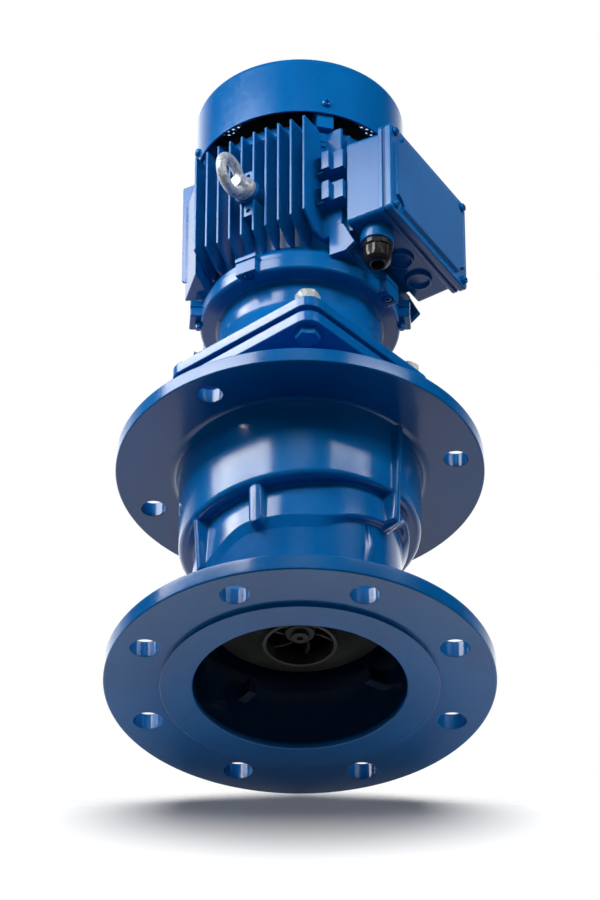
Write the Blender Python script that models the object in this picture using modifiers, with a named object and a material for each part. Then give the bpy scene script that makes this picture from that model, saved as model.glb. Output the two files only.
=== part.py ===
"""Inline pump: a flanged casting with its impeller, and a finned electric motor on top.

Metres, +Z up. The origin is the centre of the suction flange's raised face, on which the
pump stands. Azimuths are degrees round the shaft, 0 at the front (-Y) and 90 at +X.
"""
import math

import bmesh
import bpy
from mathutils import Matrix, Vector

# Driving dimensions, in metres
TOUCH_GAP = 0.0003          # gap left between faces that touch
CASING_STEPS = 60           # sides of the casting
ROUND_STEPS = 44            # sides of the other large turned pieces
SMALL_STEPS = 16            # sides of holes and small turned pieces
SCREW_STEPS = 8             # sides of small screws

SUCTION_FLANGE_RADIUS = 0.1425
RAISED_FACE_RADIUS = 0.1014
RAISED_FACE_HEIGHT = 0.003
SUCTION_FLANGE_TOP = 0.0165
SUCTION_BORE_RADIUS = 0.0776
SUCTION_HOLE_CIRCLE = 0.120
SUCTION_HOLE_RADIUS = 0.011
SUCTION_HOLE_COUNT = 8

UPPER_FLANGE_RADIUS = 0.1377
UPPER_FLANGE_BOTTOM = 0.193
UPPER_FLANGE_TOP = 0.206
UPPER_HOLE_CIRCLE = 0.1175
UPPER_HOLE_RADIUS = 0.0095
UPPER_HOLE_AZIMUTHS = (-34.0, -110.5, 80.0, 156.5)

WAIST_RADIUS = 0.0785       # casing below the lower step
MIDDLE_RADIUS = 0.0835      # between the two steps
BAND_RADIUS = 0.0905        # above the upper step
CHAMBER_RADIUS = 0.0715     # inside of the casing round the impeller
CHAMBER_TOP = 0.186
COVER_SEAT_RADIUS = 0.058   # opening that the cover's spigot fills
COVER_PAD_RADIUS = 0.0928   # raised seat on top of the casing that the cover's foot covers
COVER_PAD_STEP = 0.0008

SHAFT_RADIUS = 0.010
SHAFT_BORE_RADIUS = 0.0106
IMPELLER_RADIUS = 0.0650
IMPELLER_EYE_RADIUS = 0.0272
IMPELLER_EYE_Z = 0.038
IMPELLER_SHROUD_Z = 0.060
IMPELLER_BACK_Z = 0.084
IMPELLER_BLADES = 6

PLATE_AZIMUTH = 4.0         # one corner of the square plates, just right of the front
PLATE_SIDE = 0.144
PLATE_CORNER = 0.013
LOWER_PLATE_BOTTOM = 0.264
LOWER_PLATE_TOP = 0.2740
UPPER_PLATE_BOTTOM = 0.2785
UPPER_PLATE_TOP = 0.2880
REGISTER_RADIUS = 0.066
PLATE_BOLT_CIRCLE = 0.0815
PLATE_BOLT_RADIUS = 0.005
NUT_HEIGHT = 0.0112
THREAD_SHOWN = 0.0132        # how far the bolts end above the upper plate
HEX_FLATS = 0.0165

MOTOR_AZIMUTH = -30.5       # middle of the finned side that carries the lifting eye
SHIELD_NECK_RADIUS = 0.0625
SHIELD_RIM_RADIUS = 0.0763
SHIELD_RIM_BOTTOM = 0.331
FRAME_BOTTOM = 0.3435
FRAME_TOP = 0.4705
BARREL_RADIUS = 0.062
FIN_PITCH = 0.0107
FIN_THICKNESS = 0.0026
FIN_COUNT = 10
CORNER_FIN_EDGE = (FIN_COUNT - 1) / 2 * FIN_PITCH + FIN_THICKNESS / 2
FIN_REACH = 0.0795
FIN_BOTTOM = 0.362
FIN_CHAMFER = 0.011
FOOT_PAD_REACH = 0.0865
FOOT_PAD_HALF_WIDTH = 0.0175
FOOT_PAD_BOTTOM = 0.3565    # the pad's underside slopes from here in to the frame's base
FOOT_PAD_TOP = 0.449
FOOT_PAD_AZIMUTHS = (MOTOR_AZIMUTH - 45.0, MOTOR_AZIMUTH - 135.0)
EAR_REACH = 0.082
EAR_WIDTH = 0.018
EAR_ROOT = 0.050            # where ears start, inside the shield or frame
EAR_SCREW_REACH = 0.0765
SIDE_EAR_AZIMUTHS = (-86.0, 86.0)
SIDE_EAR_REACH = 0.0845
REAR_EAR_WIDTH = 0.0135
REAR_EAR_BOTTOM = 0.4605

FAN_COVER_RADIUS = 0.0812
FAN_COVER_BOTTOM = 0.483
FAN_COVER_TOP = 0.540
FAN_COVER_WALL = 0.0018
COVER_SCREW_HEIGHT = 0.4925
GRILLE_HOLE_RADIUS = 0.0016
GRILLE_RING_PITCH = 0.0044  # the real end has fourteen rings of 6, 12, 18 holes and so on
FAN_RADIUS = 0.071
FAN_HUB_RADIUS = 0.058
FAN_DISC_HEIGHT = 0.506
FAN_BLADES = 8
FAN_BLADE_HEIGHT = 0.0220
SHAFT_TOP = 0.532
SHAFT_BOTTOM = 0.052

BOX_AZIMUTH = MOTOR_AZIMUTH + 90.0
BOX_BACK = 0.0735
BOX_FRONT = 0.1065
BOX_LID_RIM = 0.1140
BOX_LID_FRONT = 0.1165
BOX_LID_BORDER = 0.0065     # the lid's flat border round its raised panel
BOX_HALF_WIDTH = 0.0585
BOX_BOTTOM = 0.364
BOX_TOP = 0.4495
BOX_SCREW_INSET = 0.0065
BOX_NOTCH_RADIUS = 0.0105
BOX_ENTRY_RADIUS = 0.0105
BOX_ENTRY_PLACES = (-0.034, 0.002, 0.030)
BOX_ENTRY_REACH = 0.0875
GLAND_BOSS_DROP = 0.009
GLAND_HEX_HEIGHT = 0.0045

EYE_HEIGHT = 0.4115
EYE_BOSS_RADIUS = 0.0105
EYE_BOSS_REACH = 0.0815
EYE_BAR_HALF_HEIGHT = 0.022  # bar between two fins that carries the eye's boss
EYE_RING_RADIUS = 0.0140
EYE_WIRE_RADIUS = 0.0042
EYE_RING_REACH = 0.1035

BLUE = (0.008, 0.090, 0.310, 1.0)
BARE_STEEL = (0.55, 0.55, 0.54, 1.0)
DARK_IRON = (0.035, 0.035, 0.037, 1.0)
BLACK_PLASTIC = (0.012, 0.012, 0.013, 1.0)
DARK_RUBBER = (0.008, 0.030, 0.075, 1.0)


def clear_scene():
    """Remove every object that the new file starts with."""
    for thing in list(bpy.data.objects):
        bpy.data.objects.remove(thing, do_unlink=True)


clear_scene()
PUMP = bpy.data.collections.new("inline_pump")
CUTTERS = bpy.data.collections.new("cutters")
bpy.context.scene.collection.children.link(PUMP)
bpy.context.scene.collection.children.link(CUTTERS)
MATERIALS = {}


def material(name, colour, roughness, metallic):
    """One Principled material, made the first time it is asked for."""
    if name not in MATERIALS:
        made = bpy.data.materials.new(name)
        made.use_nodes = True
        shader = made.node_tree.nodes["Principled BSDF"]
        shader.inputs["Base Color"].default_value = colour
        shader.inputs["Roughness"].default_value = roughness
        shader.inputs["Metallic"].default_value = metallic
        made.diffuse_color = colour
        MATERIALS[name] = made
    return MATERIALS[name]


def blue_paint():
    return material("blue_paint", BLUE, 0.30, 0.0)


def bare_steel():
    return material("bare_steel", BARE_STEEL, 0.35, 1.0)


def dark_iron():
    return material("dark_iron", DARK_IRON, 0.55, 0.3)


def black_plastic():
    return material("black_plastic", BLACK_PLASTIC, 0.45, 0.0)


def dark_rubber():
    return material("dark_rubber", DARK_RUBBER, 0.80, 0.0)


def polar(azimuth, reach, z=0.0, along=0.0):
    """Point at a reach from the shaft on an azimuth, moved along the tangent."""
    a = math.radians(azimuth)
    x = reach * math.sin(a) + along * math.cos(a)
    y = -reach * math.cos(a) + along * math.sin(a)
    return Vector((x, y, z))


def add_object(name, mesh, home=PUMP, finish=None):
    """Link a mesh as an object, with its material and sharp edges kept sharp."""
    made = bpy.data.objects.new(name, mesh)
    home.objects.link(made)
    if finish is not None:
        mesh.materials.append(finish)
    return made


def as_cutter(thing):
    """A cutting or joining body that the build leaves out."""
    thing.hide_render = True
    thing.display_type = "WIRE"
    return thing


def mesh_of(name, form):
    """Mesh from a bmesh, with its normals pointing out."""
    bmesh.ops.recalc_face_normals(form, faces=form.faces[:])
    mesh = bpy.data.meshes.new(name)
    form.to_mesh(mesh)
    form.free()
    return mesh


def smooth(thing, angle=35.0):
    """Smooth shading with sharp edges over the angle."""
    thing.data.shade_smooth()
    thing.data.set_sharp_from_angle(angle=math.radians(angle))


def turned(name, profile, closed, finish=None, steps=ROUND_STEPS, home=PUMP):
    """Turn a profile of (radius, z), listed down its outer side, round the Z axis."""
    mesh = bpy.data.meshes.new(name)
    count = len(profile)
    edges = [(i, i + 1) for i in range(count - 1)]
    if closed:
        edges.append((count - 1, 0))
    mesh.from_pydata([(r, 0.0, z) for r, z in profile], edges, [])
    made = add_object(name, mesh, home, finish)
    screw = made.modifiers.new("turn", "SCREW")
    screw.axis = "Z"
    screw.steps = steps
    screw.render_steps = steps
    screw.use_merge_vertices = True
    screw.merge_threshold = 0.00005
    screw.use_smooth_shade = True
    return made


def applied(thing):
    """The same object with its modifiers made real."""
    depsgraph = bpy.context.evaluated_depsgraph_get()
    mesh = bpy.data.meshes.new_from_object(thing.evaluated_get(depsgraph))
    thing.modifiers.clear()
    old = thing.data
    thing.data = mesh
    bpy.data.meshes.remove(old)
    return thing


def boolean(thing, other, operation):
    """Cut, join or intersect a body with another one."""
    step = thing.modifiers.new(operation.lower() + "_" + other.name, "BOOLEAN")
    step.operation = operation
    step.solver = "EXACT"
    step.object = other
    return step


def prism_form(form, outline, z0, z1):
    """Add a prism on a flat outline to a bmesh."""
    low = [form.verts.new((x, y, z0)) for x, y in outline]
    high = [form.verts.new((x, y, z1)) for x, y in outline]
    form.faces.new(low[::-1])
    form.faces.new(high)
    count = len(outline)
    for i in range(count):
        j = (i + 1) % count
        form.faces.new((low[i], low[j], high[j], high[i]))


def box_form(form, x0, x1, y0, y1, z0, z1, matrix=Matrix()):
    """Add a box to a bmesh, placed by a matrix."""
    size = Matrix.Diagonal((x1 - x0, y1 - y0, z1 - z0, 1.0))
    centre = Matrix.Translation(((x0 + x1) / 2, (y0 + y1) / 2, (z0 + z1) / 2))
    bmesh.ops.create_cube(form, size=1.0, matrix=matrix @ centre @ size)


def cylinder_form(form, radius, z0, z1, matrix=Matrix(), sides=SMALL_STEPS, turn=0.0):
    """Add a cylinder along Z to a bmesh, placed by a matrix."""
    place = matrix @ Matrix.Translation((0, 0, (z0 + z1) / 2)) @ Matrix.Rotation(turn, 4, "Z")
    bmesh.ops.create_cone(form, cap_ends=True, segments=sides, radius1=radius,
                          radius2=radius, depth=z1 - z0, matrix=place)


def outward(azimuth, z, reach=0.0, along=0.0):
    """Matrix whose +Z points outwards at the azimuth, at a height and a reach."""
    turn = Matrix.Rotation(math.radians(azimuth), 4, "Z")
    tip = Matrix.Rotation(math.radians(90.0), 4, "X")
    return Matrix.Translation(polar(azimuth, reach, z, along)) @ turn @ tip


def upright(azimuth, reach, z=0.0, along=0.0):
    """Matrix that keeps +Z up at a place round the shaft."""
    turn = Matrix.Rotation(math.radians(azimuth), 4, "Z")
    return Matrix.Translation(polar(azimuth, reach, z, along)) @ turn


def ease(x):
    """Smooth step from 0 to 1."""
    x = min(max(x, 0.0), 1.0)
    return x * x * (3 - 2 * x)


def bump(azimuth, start, end, fade):
    """1 between two azimuths, easing to 0 outside them."""
    middle = (start + end) / 2
    away = abs((azimuth - middle + 180.0) % 360.0 - 180.0)
    half = (end - start) / 2
    return 1.0 - ease((away - half) / fade)


def upper_step_height(azimuth):
    """Height of the edge under the wide band, which climbs round to the right."""
    return 0.1265 + 0.0085 * math.sin(math.radians(azimuth))


def lower_step_height(azimuth):
    """Height of the lower edge: it dips on the left, and on the right it rises to a beak."""
    dip = 0.0160 * bump(azimuth, -170.0, -60.0, 32.0)
    climb = 0.0100 * bump(azimuth, 55.0, 150.0, 45.0)
    beak = 0.0180 * bump(azimuth, 68.0, 150.0, 14.0)
    return 0.0975 - dip + climb + beak


def casing_profile(azimuth):
    """Outline of the casing's section at an azimuth, closed, down the outer side first."""
    upper = upper_step_height(azimuth)
    lower = lower_step_height(azimuth)
    deep = bump(azimuth, 20.0, 70.0, 14.0)
    middle = WAIST_RADIUS + (MIDDLE_RADIUS - WAIST_RADIUS) * (0.35 + 0.65 * deep)
    band = BAND_RADIUS
    rim_top = UPPER_FLANGE_TOP - COVER_PAD_STEP
    undercut = 0.0012
    return [
        (COVER_SEAT_RADIUS, UPPER_FLANGE_TOP),
        (COVER_PAD_RADIUS, UPPER_FLANGE_TOP),
        (COVER_PAD_RADIUS, rim_top),
        (UPPER_FLANGE_RADIUS - 0.0012, rim_top),
        (UPPER_FLANGE_RADIUS, rim_top - 0.0012),
        (UPPER_FLANGE_RADIUS, UPPER_FLANGE_BOTTOM + 0.0012),
        (UPPER_FLANGE_RADIUS - 0.0012, UPPER_FLANGE_BOTTOM),
        (band + 0.0085, UPPER_FLANGE_BOTTOM),
        (band + 0.0040, UPPER_FLANGE_BOTTOM - 0.0013),
        (band + 0.0016, UPPER_FLANGE_BOTTOM - 0.0045),
        (band + 0.0004, UPPER_FLANGE_BOTTOM - 0.010),
        (band - 0.0008, upper + 0.014),
        (band - 0.0020, upper + 0.0065),
        (band - 0.0042, upper + 0.0020),
        (band - 0.0080, upper),
        (middle - undercut, upper - 0.0010),
        (middle - 0.0002, upper - 0.004),
        (middle, lower + 0.004),
        (middle - 0.0012, lower + 0.002),
        (middle - 0.0035 * deep - 0.0005, lower),
        (WAIST_RADIUS - 0.0006, lower - 0.0020),
        (WAIST_RADIUS - 0.0008, 0.078),
        (WAIST_RADIUS + 0.0012, 0.052),
        (WAIST_RADIUS + 0.0062, 0.026),
        (WAIST_RADIUS + 0.0105, SUCTION_FLANGE_TOP + 0.003),
        (WAIST_RADIUS + 0.0180, SUCTION_FLANGE_TOP),
        (SUCTION_FLANGE_RADIUS - 0.0014, SUCTION_FLANGE_TOP),
        (SUCTION_FLANGE_RADIUS, SUCTION_FLANGE_TOP - 0.0014),
        (SUCTION_FLANGE_RADIUS, RAISED_FACE_HEIGHT + 0.0014),
        (SUCTION_FLANGE_RADIUS - 0.0014, RAISED_FACE_HEIGHT),
        (RAISED_FACE_RADIUS, RAISED_FACE_HEIGHT),
        (RAISED_FACE_RADIUS, 0.0),
        (SUCTION_BORE_RADIUS + 0.0012, 0.0),
        (SUCTION_BORE_RADIUS, 0.0012),
        (SUCTION_BORE_RADIUS - 0.0012, 0.018),
        (CHAMBER_RADIUS, 0.046),
        (CHAMBER_RADIUS, CHAMBER_TOP - 0.006),
        (CHAMBER_RADIUS - 0.006, CHAMBER_TOP),
        (COVER_SEAT_RADIUS, CHAMBER_TOP),
    ]


def lofted_ring(name, section, steps, finish=None, home=PUMP):
    """Closed ring through the same number of points at each azimuth."""
    form = bmesh.new()
    rings = []
    for i in range(steps):
        azimuth = 360.0 * i / steps
        rings.append([form.verts.new(polar(azimuth, r, z)) for r, z in section(azimuth)])
    count = len(rings[0])
    for i in range(steps):
        here, after = rings[i], rings[(i + 1) % steps]
        for k in range(count):
            n = (k + 1) % count
            form.faces.new((here[k], here[n], after[n], after[k]))
    return add_object(name, mesh_of(name, form), home, finish)


def hole_ring(name, azimuths, circle, radius, z0, z1):
    """Cutter of upright round holes at azimuths on a circle."""
    form = bmesh.new()
    for azimuth in azimuths:
        cylinder_form(form, radius, z0, z1, upright(azimuth, circle))
    return as_cutter(add_object(name, mesh_of(name, form), CUTTERS))


def upright_prism(name, azimuth, half_width, outline):
    """Prism on a (reach, height) outline, its flat sides facing along the tangent."""
    form = bmesh.new()
    place = upright(azimuth, 0.0)
    left = [form.verts.new(place @ Vector((-half_width, -r, z))) for r, z in outline]
    right = [form.verts.new(place @ Vector((half_width, -r, z))) for r, z in outline]
    form.faces.new(left)
    form.faces.new(right[::-1])
    count = len(outline)
    for i in range(count):
        j = (i + 1) % count
        form.faces.new((left[i], right[i], right[j], left[j]))
    return as_cutter(add_object(name, mesh_of(name, form), CUTTERS))


def wedge_rib(name, azimuth, half_width, outer_low, outer_high, z0, z1, inner=0.074):
    """Upright rib on the casting, whose outer edge leans from one reach to another."""
    return upright_prism(name, azimuth, half_width, [
        (inner, z0),
        (outer_low, z0),
        (outer_high, z1),
        (inner, z1),
    ])


def make_pump_casing():
    """The casting: suction flange, stepped body and upper flange in one piece."""
    casing = lofted_ring("pump_casing", casing_profile, CASING_STEPS, blue_paint())
    ribs = [
        wedge_rib("rib_left", -61.0, 0.0035, 0.0845, 0.0875, 0.0755, 0.128),
        wedge_rib("rib_right", 51.0, 0.0035, 0.0890, 0.0960, 0.108, 0.194),
        wedge_rib("rib_back", 171.0, 0.0035, 0.0890, 0.0960, 0.108, 0.194),
        wedge_rib("gusset", 39.5, 0.0045, 0.0795, 0.0855, 0.066, 0.097),
        wedge_rib("stub", -22.5, 0.0062, 0.0850, 0.0868, 0.0905, 0.128),
    ]
    for rib in ribs:
        boolean(casing, rib, "UNION")
    for i in range(4):
        azimuth = 125.0 + 90.0 * i
        vane = wedge_rib("suction_vane_%d" % (i + 1), azimuth, 0.0022,
                         0.0735, 0.0735, 0.0300, 0.0440, inner=0.060)
        boolean(casing, vane, "UNION")
    suction = [22.5 + 360.0 * i / SUCTION_HOLE_COUNT for i in range(SUCTION_HOLE_COUNT)]
    lower = hole_ring("suction_holes", suction, SUCTION_HOLE_CIRCLE, SUCTION_HOLE_RADIUS,
                      -0.01, SUCTION_FLANGE_TOP + 0.01)
    upper = hole_ring("upper_holes", UPPER_HOLE_AZIMUTHS, UPPER_HOLE_CIRCLE,
                      UPPER_HOLE_RADIUS, UPPER_FLANGE_BOTTOM - 0.008, UPPER_FLANGE_TOP + 0.01)
    boolean(casing, lower, "DIFFERENCE")
    boolean(casing, upper, "DIFFERENCE")
    smooth(casing)
    return casing


def rounded_square(side, corner, arc_points=5):
    """Outline of a square with round corners, with its corners on the axes."""
    half = side / 2
    points = []
    for quarter in range(4):
        base = math.radians(90.0 * quarter)
        centre = Vector((half - corner, half - corner))
        for i in range(arc_points):
            a = math.radians(90.0 * i / (arc_points - 1))
            p = centre + corner * Vector((math.cos(a), math.sin(a)))
            turned_by = base + math.radians(45.0)
            points.append((p.x * math.cos(turned_by) - p.y * math.sin(turned_by),
                           p.x * math.sin(turned_by) + p.y * math.cos(turned_by)))
    return points


def square_plate(name, z0, z1):
    """Square plate with a corner at the front and a wide middle hole, to be joined."""
    form = bmesh.new()
    prism_form(form, rounded_square(PLATE_SIDE, PLATE_CORNER), z0, z1)
    form.transform(Matrix.Rotation(math.radians(PLATE_AZIMUTH), 4, "Z"))
    plate = as_cutter(add_object(name, mesh_of(name, form), CUTTERS))
    middle = hole_ring(name + "_middle", (0.0,), 0.0, 0.030, z0 - 0.01, z1 + 0.01)
    boolean(plate, middle, "DIFFERENCE")
    return plate


def plate_bolt_azimuths():
    return [PLATE_AZIMUTH + 90.0 * i for i in range(4)]


def make_casing_cover(bolt_holes):
    """Cover of the pump chamber: spigot, foot, neck and the lower square plate."""
    foot = UPPER_FLANGE_TOP + TOUCH_GAP
    spigot = COVER_SEAT_RADIUS - TOUCH_GAP
    cover = turned("casing_cover", [
        (SHAFT_BORE_RADIUS, LOWER_PLATE_TOP),
        (0.0660, LOWER_PLATE_TOP),
        (0.0660, LOWER_PLATE_BOTTOM - 0.004),
        (0.0600, LOWER_PLATE_BOTTOM - 0.010),
        (0.0580, 0.232),
        (0.0640, 0.222),
        (0.0900, 0.2185),
        (0.0920, 0.2165),
        (0.0920, foot),
        (spigot, foot),
        (spigot, CHAMBER_TOP + 0.002),
        (spigot - 0.003, CHAMBER_TOP - 0.001),
        (0.024, CHAMBER_TOP - 0.001),
        (0.020, CHAMBER_TOP - 0.030),
        (SHAFT_BORE_RADIUS, CHAMBER_TOP - 0.030),
    ], True, blue_paint())
    boolean(cover, square_plate("lower_plate", LOWER_PLATE_BOTTOM, LOWER_PLATE_TOP), "UNION")
    boolean(cover, bolt_holes, "DIFFERENCE")
    return cover


def shield_ears(name, azimuths, width, inner, reach, z0, z1):
    """Blocks round a shield or frame that its screws go through."""
    form = bmesh.new()
    for azimuth in azimuths:
        box_form(form, -width / 2, width / 2, -reach, -inner, z0, z1, upright(azimuth, 0.0))
    return as_cutter(add_object(name, mesh_of(name, form), CUTTERS))


def lower_ear_azimuths():
    return [MOTOR_AZIMUTH + 90.0 * i for i in range(4)]


def rear_ear_azimuths():
    return [MOTOR_AZIMUTH + 45.0 + 90.0 * i for i in range(4)]


def make_drive_end_shield(bolt_holes, screw_holes):
    """Upper square plate, neck and rim that carry the motor frame."""
    top = FRAME_BOTTOM - TOUCH_GAP
    shield = turned("drive_end_shield", [
        (SHAFT_BORE_RADIUS, top),
        (SHIELD_RIM_RADIUS - 0.001, top),
        (SHIELD_RIM_RADIUS, top - 0.001),
        (SHIELD_RIM_RADIUS, SHIELD_RIM_BOTTOM + 0.0012),
        (SHIELD_RIM_RADIUS - 0.0012, SHIELD_RIM_BOTTOM),
        (SHIELD_NECK_RADIUS + 0.004, SHIELD_RIM_BOTTOM),
        (SHIELD_NECK_RADIUS + 0.001, SHIELD_RIM_BOTTOM - 0.002),
        (SHIELD_NECK_RADIUS, SHIELD_RIM_BOTTOM - 0.006),
        (SHIELD_NECK_RADIUS + 0.0005, 0.304),
        (SHIELD_NECK_RADIUS + 0.0020, 0.295),
        (SHIELD_NECK_RADIUS + 0.0060, UPPER_PLATE_TOP + 0.0015),
        (SHIELD_NECK_RADIUS + 0.0060, UPPER_PLATE_BOTTOM - 0.0002),
        (REGISTER_RADIUS, UPPER_PLATE_BOTTOM - 0.0002),
        (REGISTER_RADIUS, LOWER_PLATE_TOP + TOUCH_GAP),
        (SHAFT_BORE_RADIUS, LOWER_PLATE_TOP + TOUCH_GAP),
    ], True, blue_paint())
    boolean(shield, square_plate("upper_plate", UPPER_PLATE_BOTTOM, UPPER_PLATE_TOP), "UNION")
    ears = shield_ears("shield_ears", lower_ear_azimuths(), EAR_WIDTH, EAR_ROOT, EAR_REACH,
                       SHIELD_RIM_BOTTOM - 0.0004, top)
    boolean(shield, ears, "UNION")
    side_ears = shield_ears("side_ears", SIDE_EAR_AZIMUTHS, EAR_WIDTH, EAR_ROOT, SIDE_EAR_REACH,
                            SHIELD_RIM_BOTTOM + 0.0003, top)
    boolean(shield, side_ears, "UNION")
    boolean(shield, bolt_holes, "DIFFERENCE")
    boolean(shield, screw_holes, "DIFFERENCE")
    return shield


def fin_tip(along):
    """Reach of a fin's tip, a little less towards the corners."""
    return FIN_REACH - along * along / 0.826


def frame_outline():
    """Section of the finned barrel, in order round the shaft.

    The end fins of two neighbouring sides cross, so they share one corner point.
    """
    points = []
    half = FIN_THICKNESS / 2
    for side in range(4):
        azimuth = MOTOR_AZIMUTH + 90.0 * side
        box_side = side == 1
        for i in range(FIN_COUNT):
            along = (i - (FIN_COUNT - 1) / 2) * FIN_PITCH
            tip = min(fin_tip(along), BOX_BACK - 0.004) if box_side else fin_tip(along)
            for edge, out in ((-half, False), (-half, True), (half, True), (half, False)):
                if i == 0 and edge < 0 and not out:
                    continue
                t = along + edge
                root = max(math.sqrt(BARREL_RADIUS ** 2 - t * t), CORNER_FIN_EDGE)
                points.append(polar(azimuth, tip if out else root, 0.0, t).to_2d())
    return points


def make_motor_frame(screw_holes, seat_holes):
    """Finned barrel with the foot pads, the terminal box seat and the eye's boss."""
    form = bmesh.new()
    prism_form(form, frame_outline(), FIN_BOTTOM, FRAME_TOP)
    frame = add_object("motor_frame", mesh_of("motor_frame", form), PUMP, blue_paint())
    chamfer = turned("fin_chamfer", [
        (0.130, FIN_BOTTOM - 0.01),
        (0.130, FIN_BOTTOM + 0.030),
        (FIN_REACH + 0.004, FIN_BOTTOM + FIN_CHAMFER + 0.003),
        (BARREL_RADIUS + 0.0005, FIN_BOTTOM),
        (BARREL_RADIUS + 0.0005, FIN_BOTTOM - 0.01),
    ][::-1], True, None, 36, CUTTERS)
    boolean(frame, as_cutter(applied(chamfer)), "DIFFERENCE")
    core = turned("barrel_core", [
        (0.0, FRAME_TOP),
        (BARREL_RADIUS + 0.0002, FRAME_TOP),
        (BARREL_RADIUS + 0.0002, FIN_BOTTOM + 0.004),
        (BARREL_RADIUS + 0.0002, FIN_BOTTOM - 0.004),
        (SHIELD_RIM_RADIUS - 0.003, FRAME_BOTTOM + 0.006),
        (SHIELD_RIM_RADIUS - 0.003, FRAME_BOTTOM),
        (0.0, FRAME_BOTTOM),
    ], False, None, ROUND_STEPS, CUTTERS)
    boolean(frame, as_cutter(core), "UNION")

    blocks = bmesh.new()
    root = (CORNER_FIN_EDGE - 0.001) * math.sqrt(2)
    half = FOOT_PAD_HALF_WIDTH
    for azimuth in FOOT_PAD_AZIMUTHS:
        corners = [(0.0, root), (half, FOOT_PAD_REACH), (-half, FOOT_PAD_REACH)]
        outline = [polar(azimuth, reach, 0.0, t).to_2d() for t, reach in corners]
        prism_form(blocks, outline, FRAME_BOTTOM + 0.0035, FOOT_PAD_TOP)
    for vert in blocks.verts:
        if vert.co.z < FOOT_PAD_BOTTOM and vert.co.to_2d().length > root + 0.001:
            vert.co.z = FOOT_PAD_BOTTOM
    pads = as_cutter(add_object("foot_pads", mesh_of("foot_pads", blocks), CUTTERS))
    boolean(frame, pads, "UNION")

    seat = bmesh.new()
    box_form(seat, -0.043, 0.043, -(BOX_BACK - TOUCH_GAP), -0.040, BOX_BOTTOM + 0.006,
             BOX_TOP - 0.006, upright(BOX_AZIMUTH, 0.0))
    seat_block = as_cutter(add_object("box_seat", mesh_of("box_seat", seat), CUTTERS))
    boolean(frame, seat_block, "UNION")
    pedestal = upright_prism("box_pedestal", BOX_AZIMUTH, 0.0510, [
        (0.0555, 0.3465),
        (0.0693, 0.3458),
        (0.0775, 0.3515),
        (0.0680, 0.3728),
        (0.0555, 0.3760),
    ])
    hollow = bmesh.new()
    box_form(hollow, -0.0470, 0.0470, -0.0900, -0.0700, 0.3300, 0.3900,
             upright(BOX_AZIMUTH, 0.0))
    boolean(pedestal, as_cutter(add_object("pedestal_hollow", mesh_of("pedestal_hollow", hollow),
                                           CUTTERS)), "DIFFERENCE")
    boolean(frame, pedestal, "UNION")

    for mirror in (1.0, -1.0):
        steps = bmesh.new()
        for z0 in (0.3915, 0.4215):
            for x0, x1, y1 in ((0.056, 0.063, 0.064), (0.0628, 0.0729, 0.0597)):
                corner = sorted((mirror * x0, mirror * x1))
                azimuth = BOX_AZIMUTH - mirror * 90.0
                box_form(steps, corner[0], corner[1], -y1, -0.020, z0, z0 + 0.0175,
                         upright(azimuth, 0.0))
        name = "stepped_lugs_right" if mirror > 0 else "stepped_lugs_back"
        lugs = as_cutter(add_object(name, mesh_of(name, steps), CUTTERS))
        applied_union(frame, lugs)

    ears = shield_ears("frame_ears", lower_ear_azimuths(), EAR_WIDTH, EAR_ROOT, EAR_REACH,
                       FRAME_BOTTOM, FRAME_BOTTOM + 0.0046)
    boolean(frame, ears, "UNION")
    rear = shield_ears("rear_frame_ears", rear_ear_azimuths(), REAR_EAR_WIDTH, EAR_ROOT,
                       0.0735, REAR_EAR_BOTTOM, FRAME_TOP)
    boolean(frame, rear, "UNION")

    bar = bmesh.new()
    half = (FIN_PITCH - FIN_THICKNESS) / 2 + 0.0008
    box_form(bar, -half, half, -(EYE_BOSS_REACH - 0.0030), -EAR_ROOT,
             EYE_HEIGHT - EYE_BAR_HALF_HEIGHT, EYE_HEIGHT + EYE_BAR_HALF_HEIGHT,
             upright(MOTOR_AZIMUTH, 0.0))
    eye_bar = as_cutter(add_object("eye_bar", mesh_of("eye_bar", bar), CUTTERS))
    boolean(frame, eye_bar, "UNION")
    boss = bmesh.new()
    cylinder_form(boss, EYE_BOSS_RADIUS, EAR_ROOT, EYE_BOSS_REACH,
                  outward(MOTOR_AZIMUTH, EYE_HEIGHT))
    eye_boss = as_cutter(add_object("eye_boss", mesh_of("eye_boss", boss), CUTTERS))
    boolean(frame, eye_boss, "UNION")
    boolean(frame, screw_holes, "DIFFERENCE")
    boolean(frame, seat_holes, "DIFFERENCE")
    return frame


def applied_union(thing, other):
    """Join a body whose own solids overlap each other."""
    step = boolean(thing, other, "UNION")
    step.use_self = True
    return step


def make_rear_end_shield():
    """Rear cap of the motor, with four lugs that hold the fan cover."""
    bottom = FRAME_TOP + TOUCH_GAP
    top = 0.4875
    shield = turned("rear_end_shield", [
        (SHAFT_BORE_RADIUS, top + 0.004),
        (0.024, top + 0.004),
        (0.026, top),
        (0.064, top - 0.004),
        (0.0675, bottom + 0.008),
        (0.0675, bottom),
        (SHAFT_BORE_RADIUS, bottom),
    ], True, blue_paint())
    ears = shield_ears("rear_shield_ears", rear_ear_azimuths(), REAR_EAR_WIDTH, EAR_ROOT,
                       FAN_COVER_RADIUS - FAN_COVER_WALL - 0.0009, bottom,
                       COVER_SCREW_HEIGHT + 0.006)
    boolean(shield, ears, "UNION")
    return shield


def grille_places():
    """The holes stated in the fan cover's end: 6 of its fifth ring and 12 of its tenth."""
    inner = [(60.0 * i, 5 * GRILLE_RING_PITCH) for i in range(6)]
    outer = [(30.0 * i, 10 * GRILLE_RING_PITCH) for i in range(12)]
    return inner + outer


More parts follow.
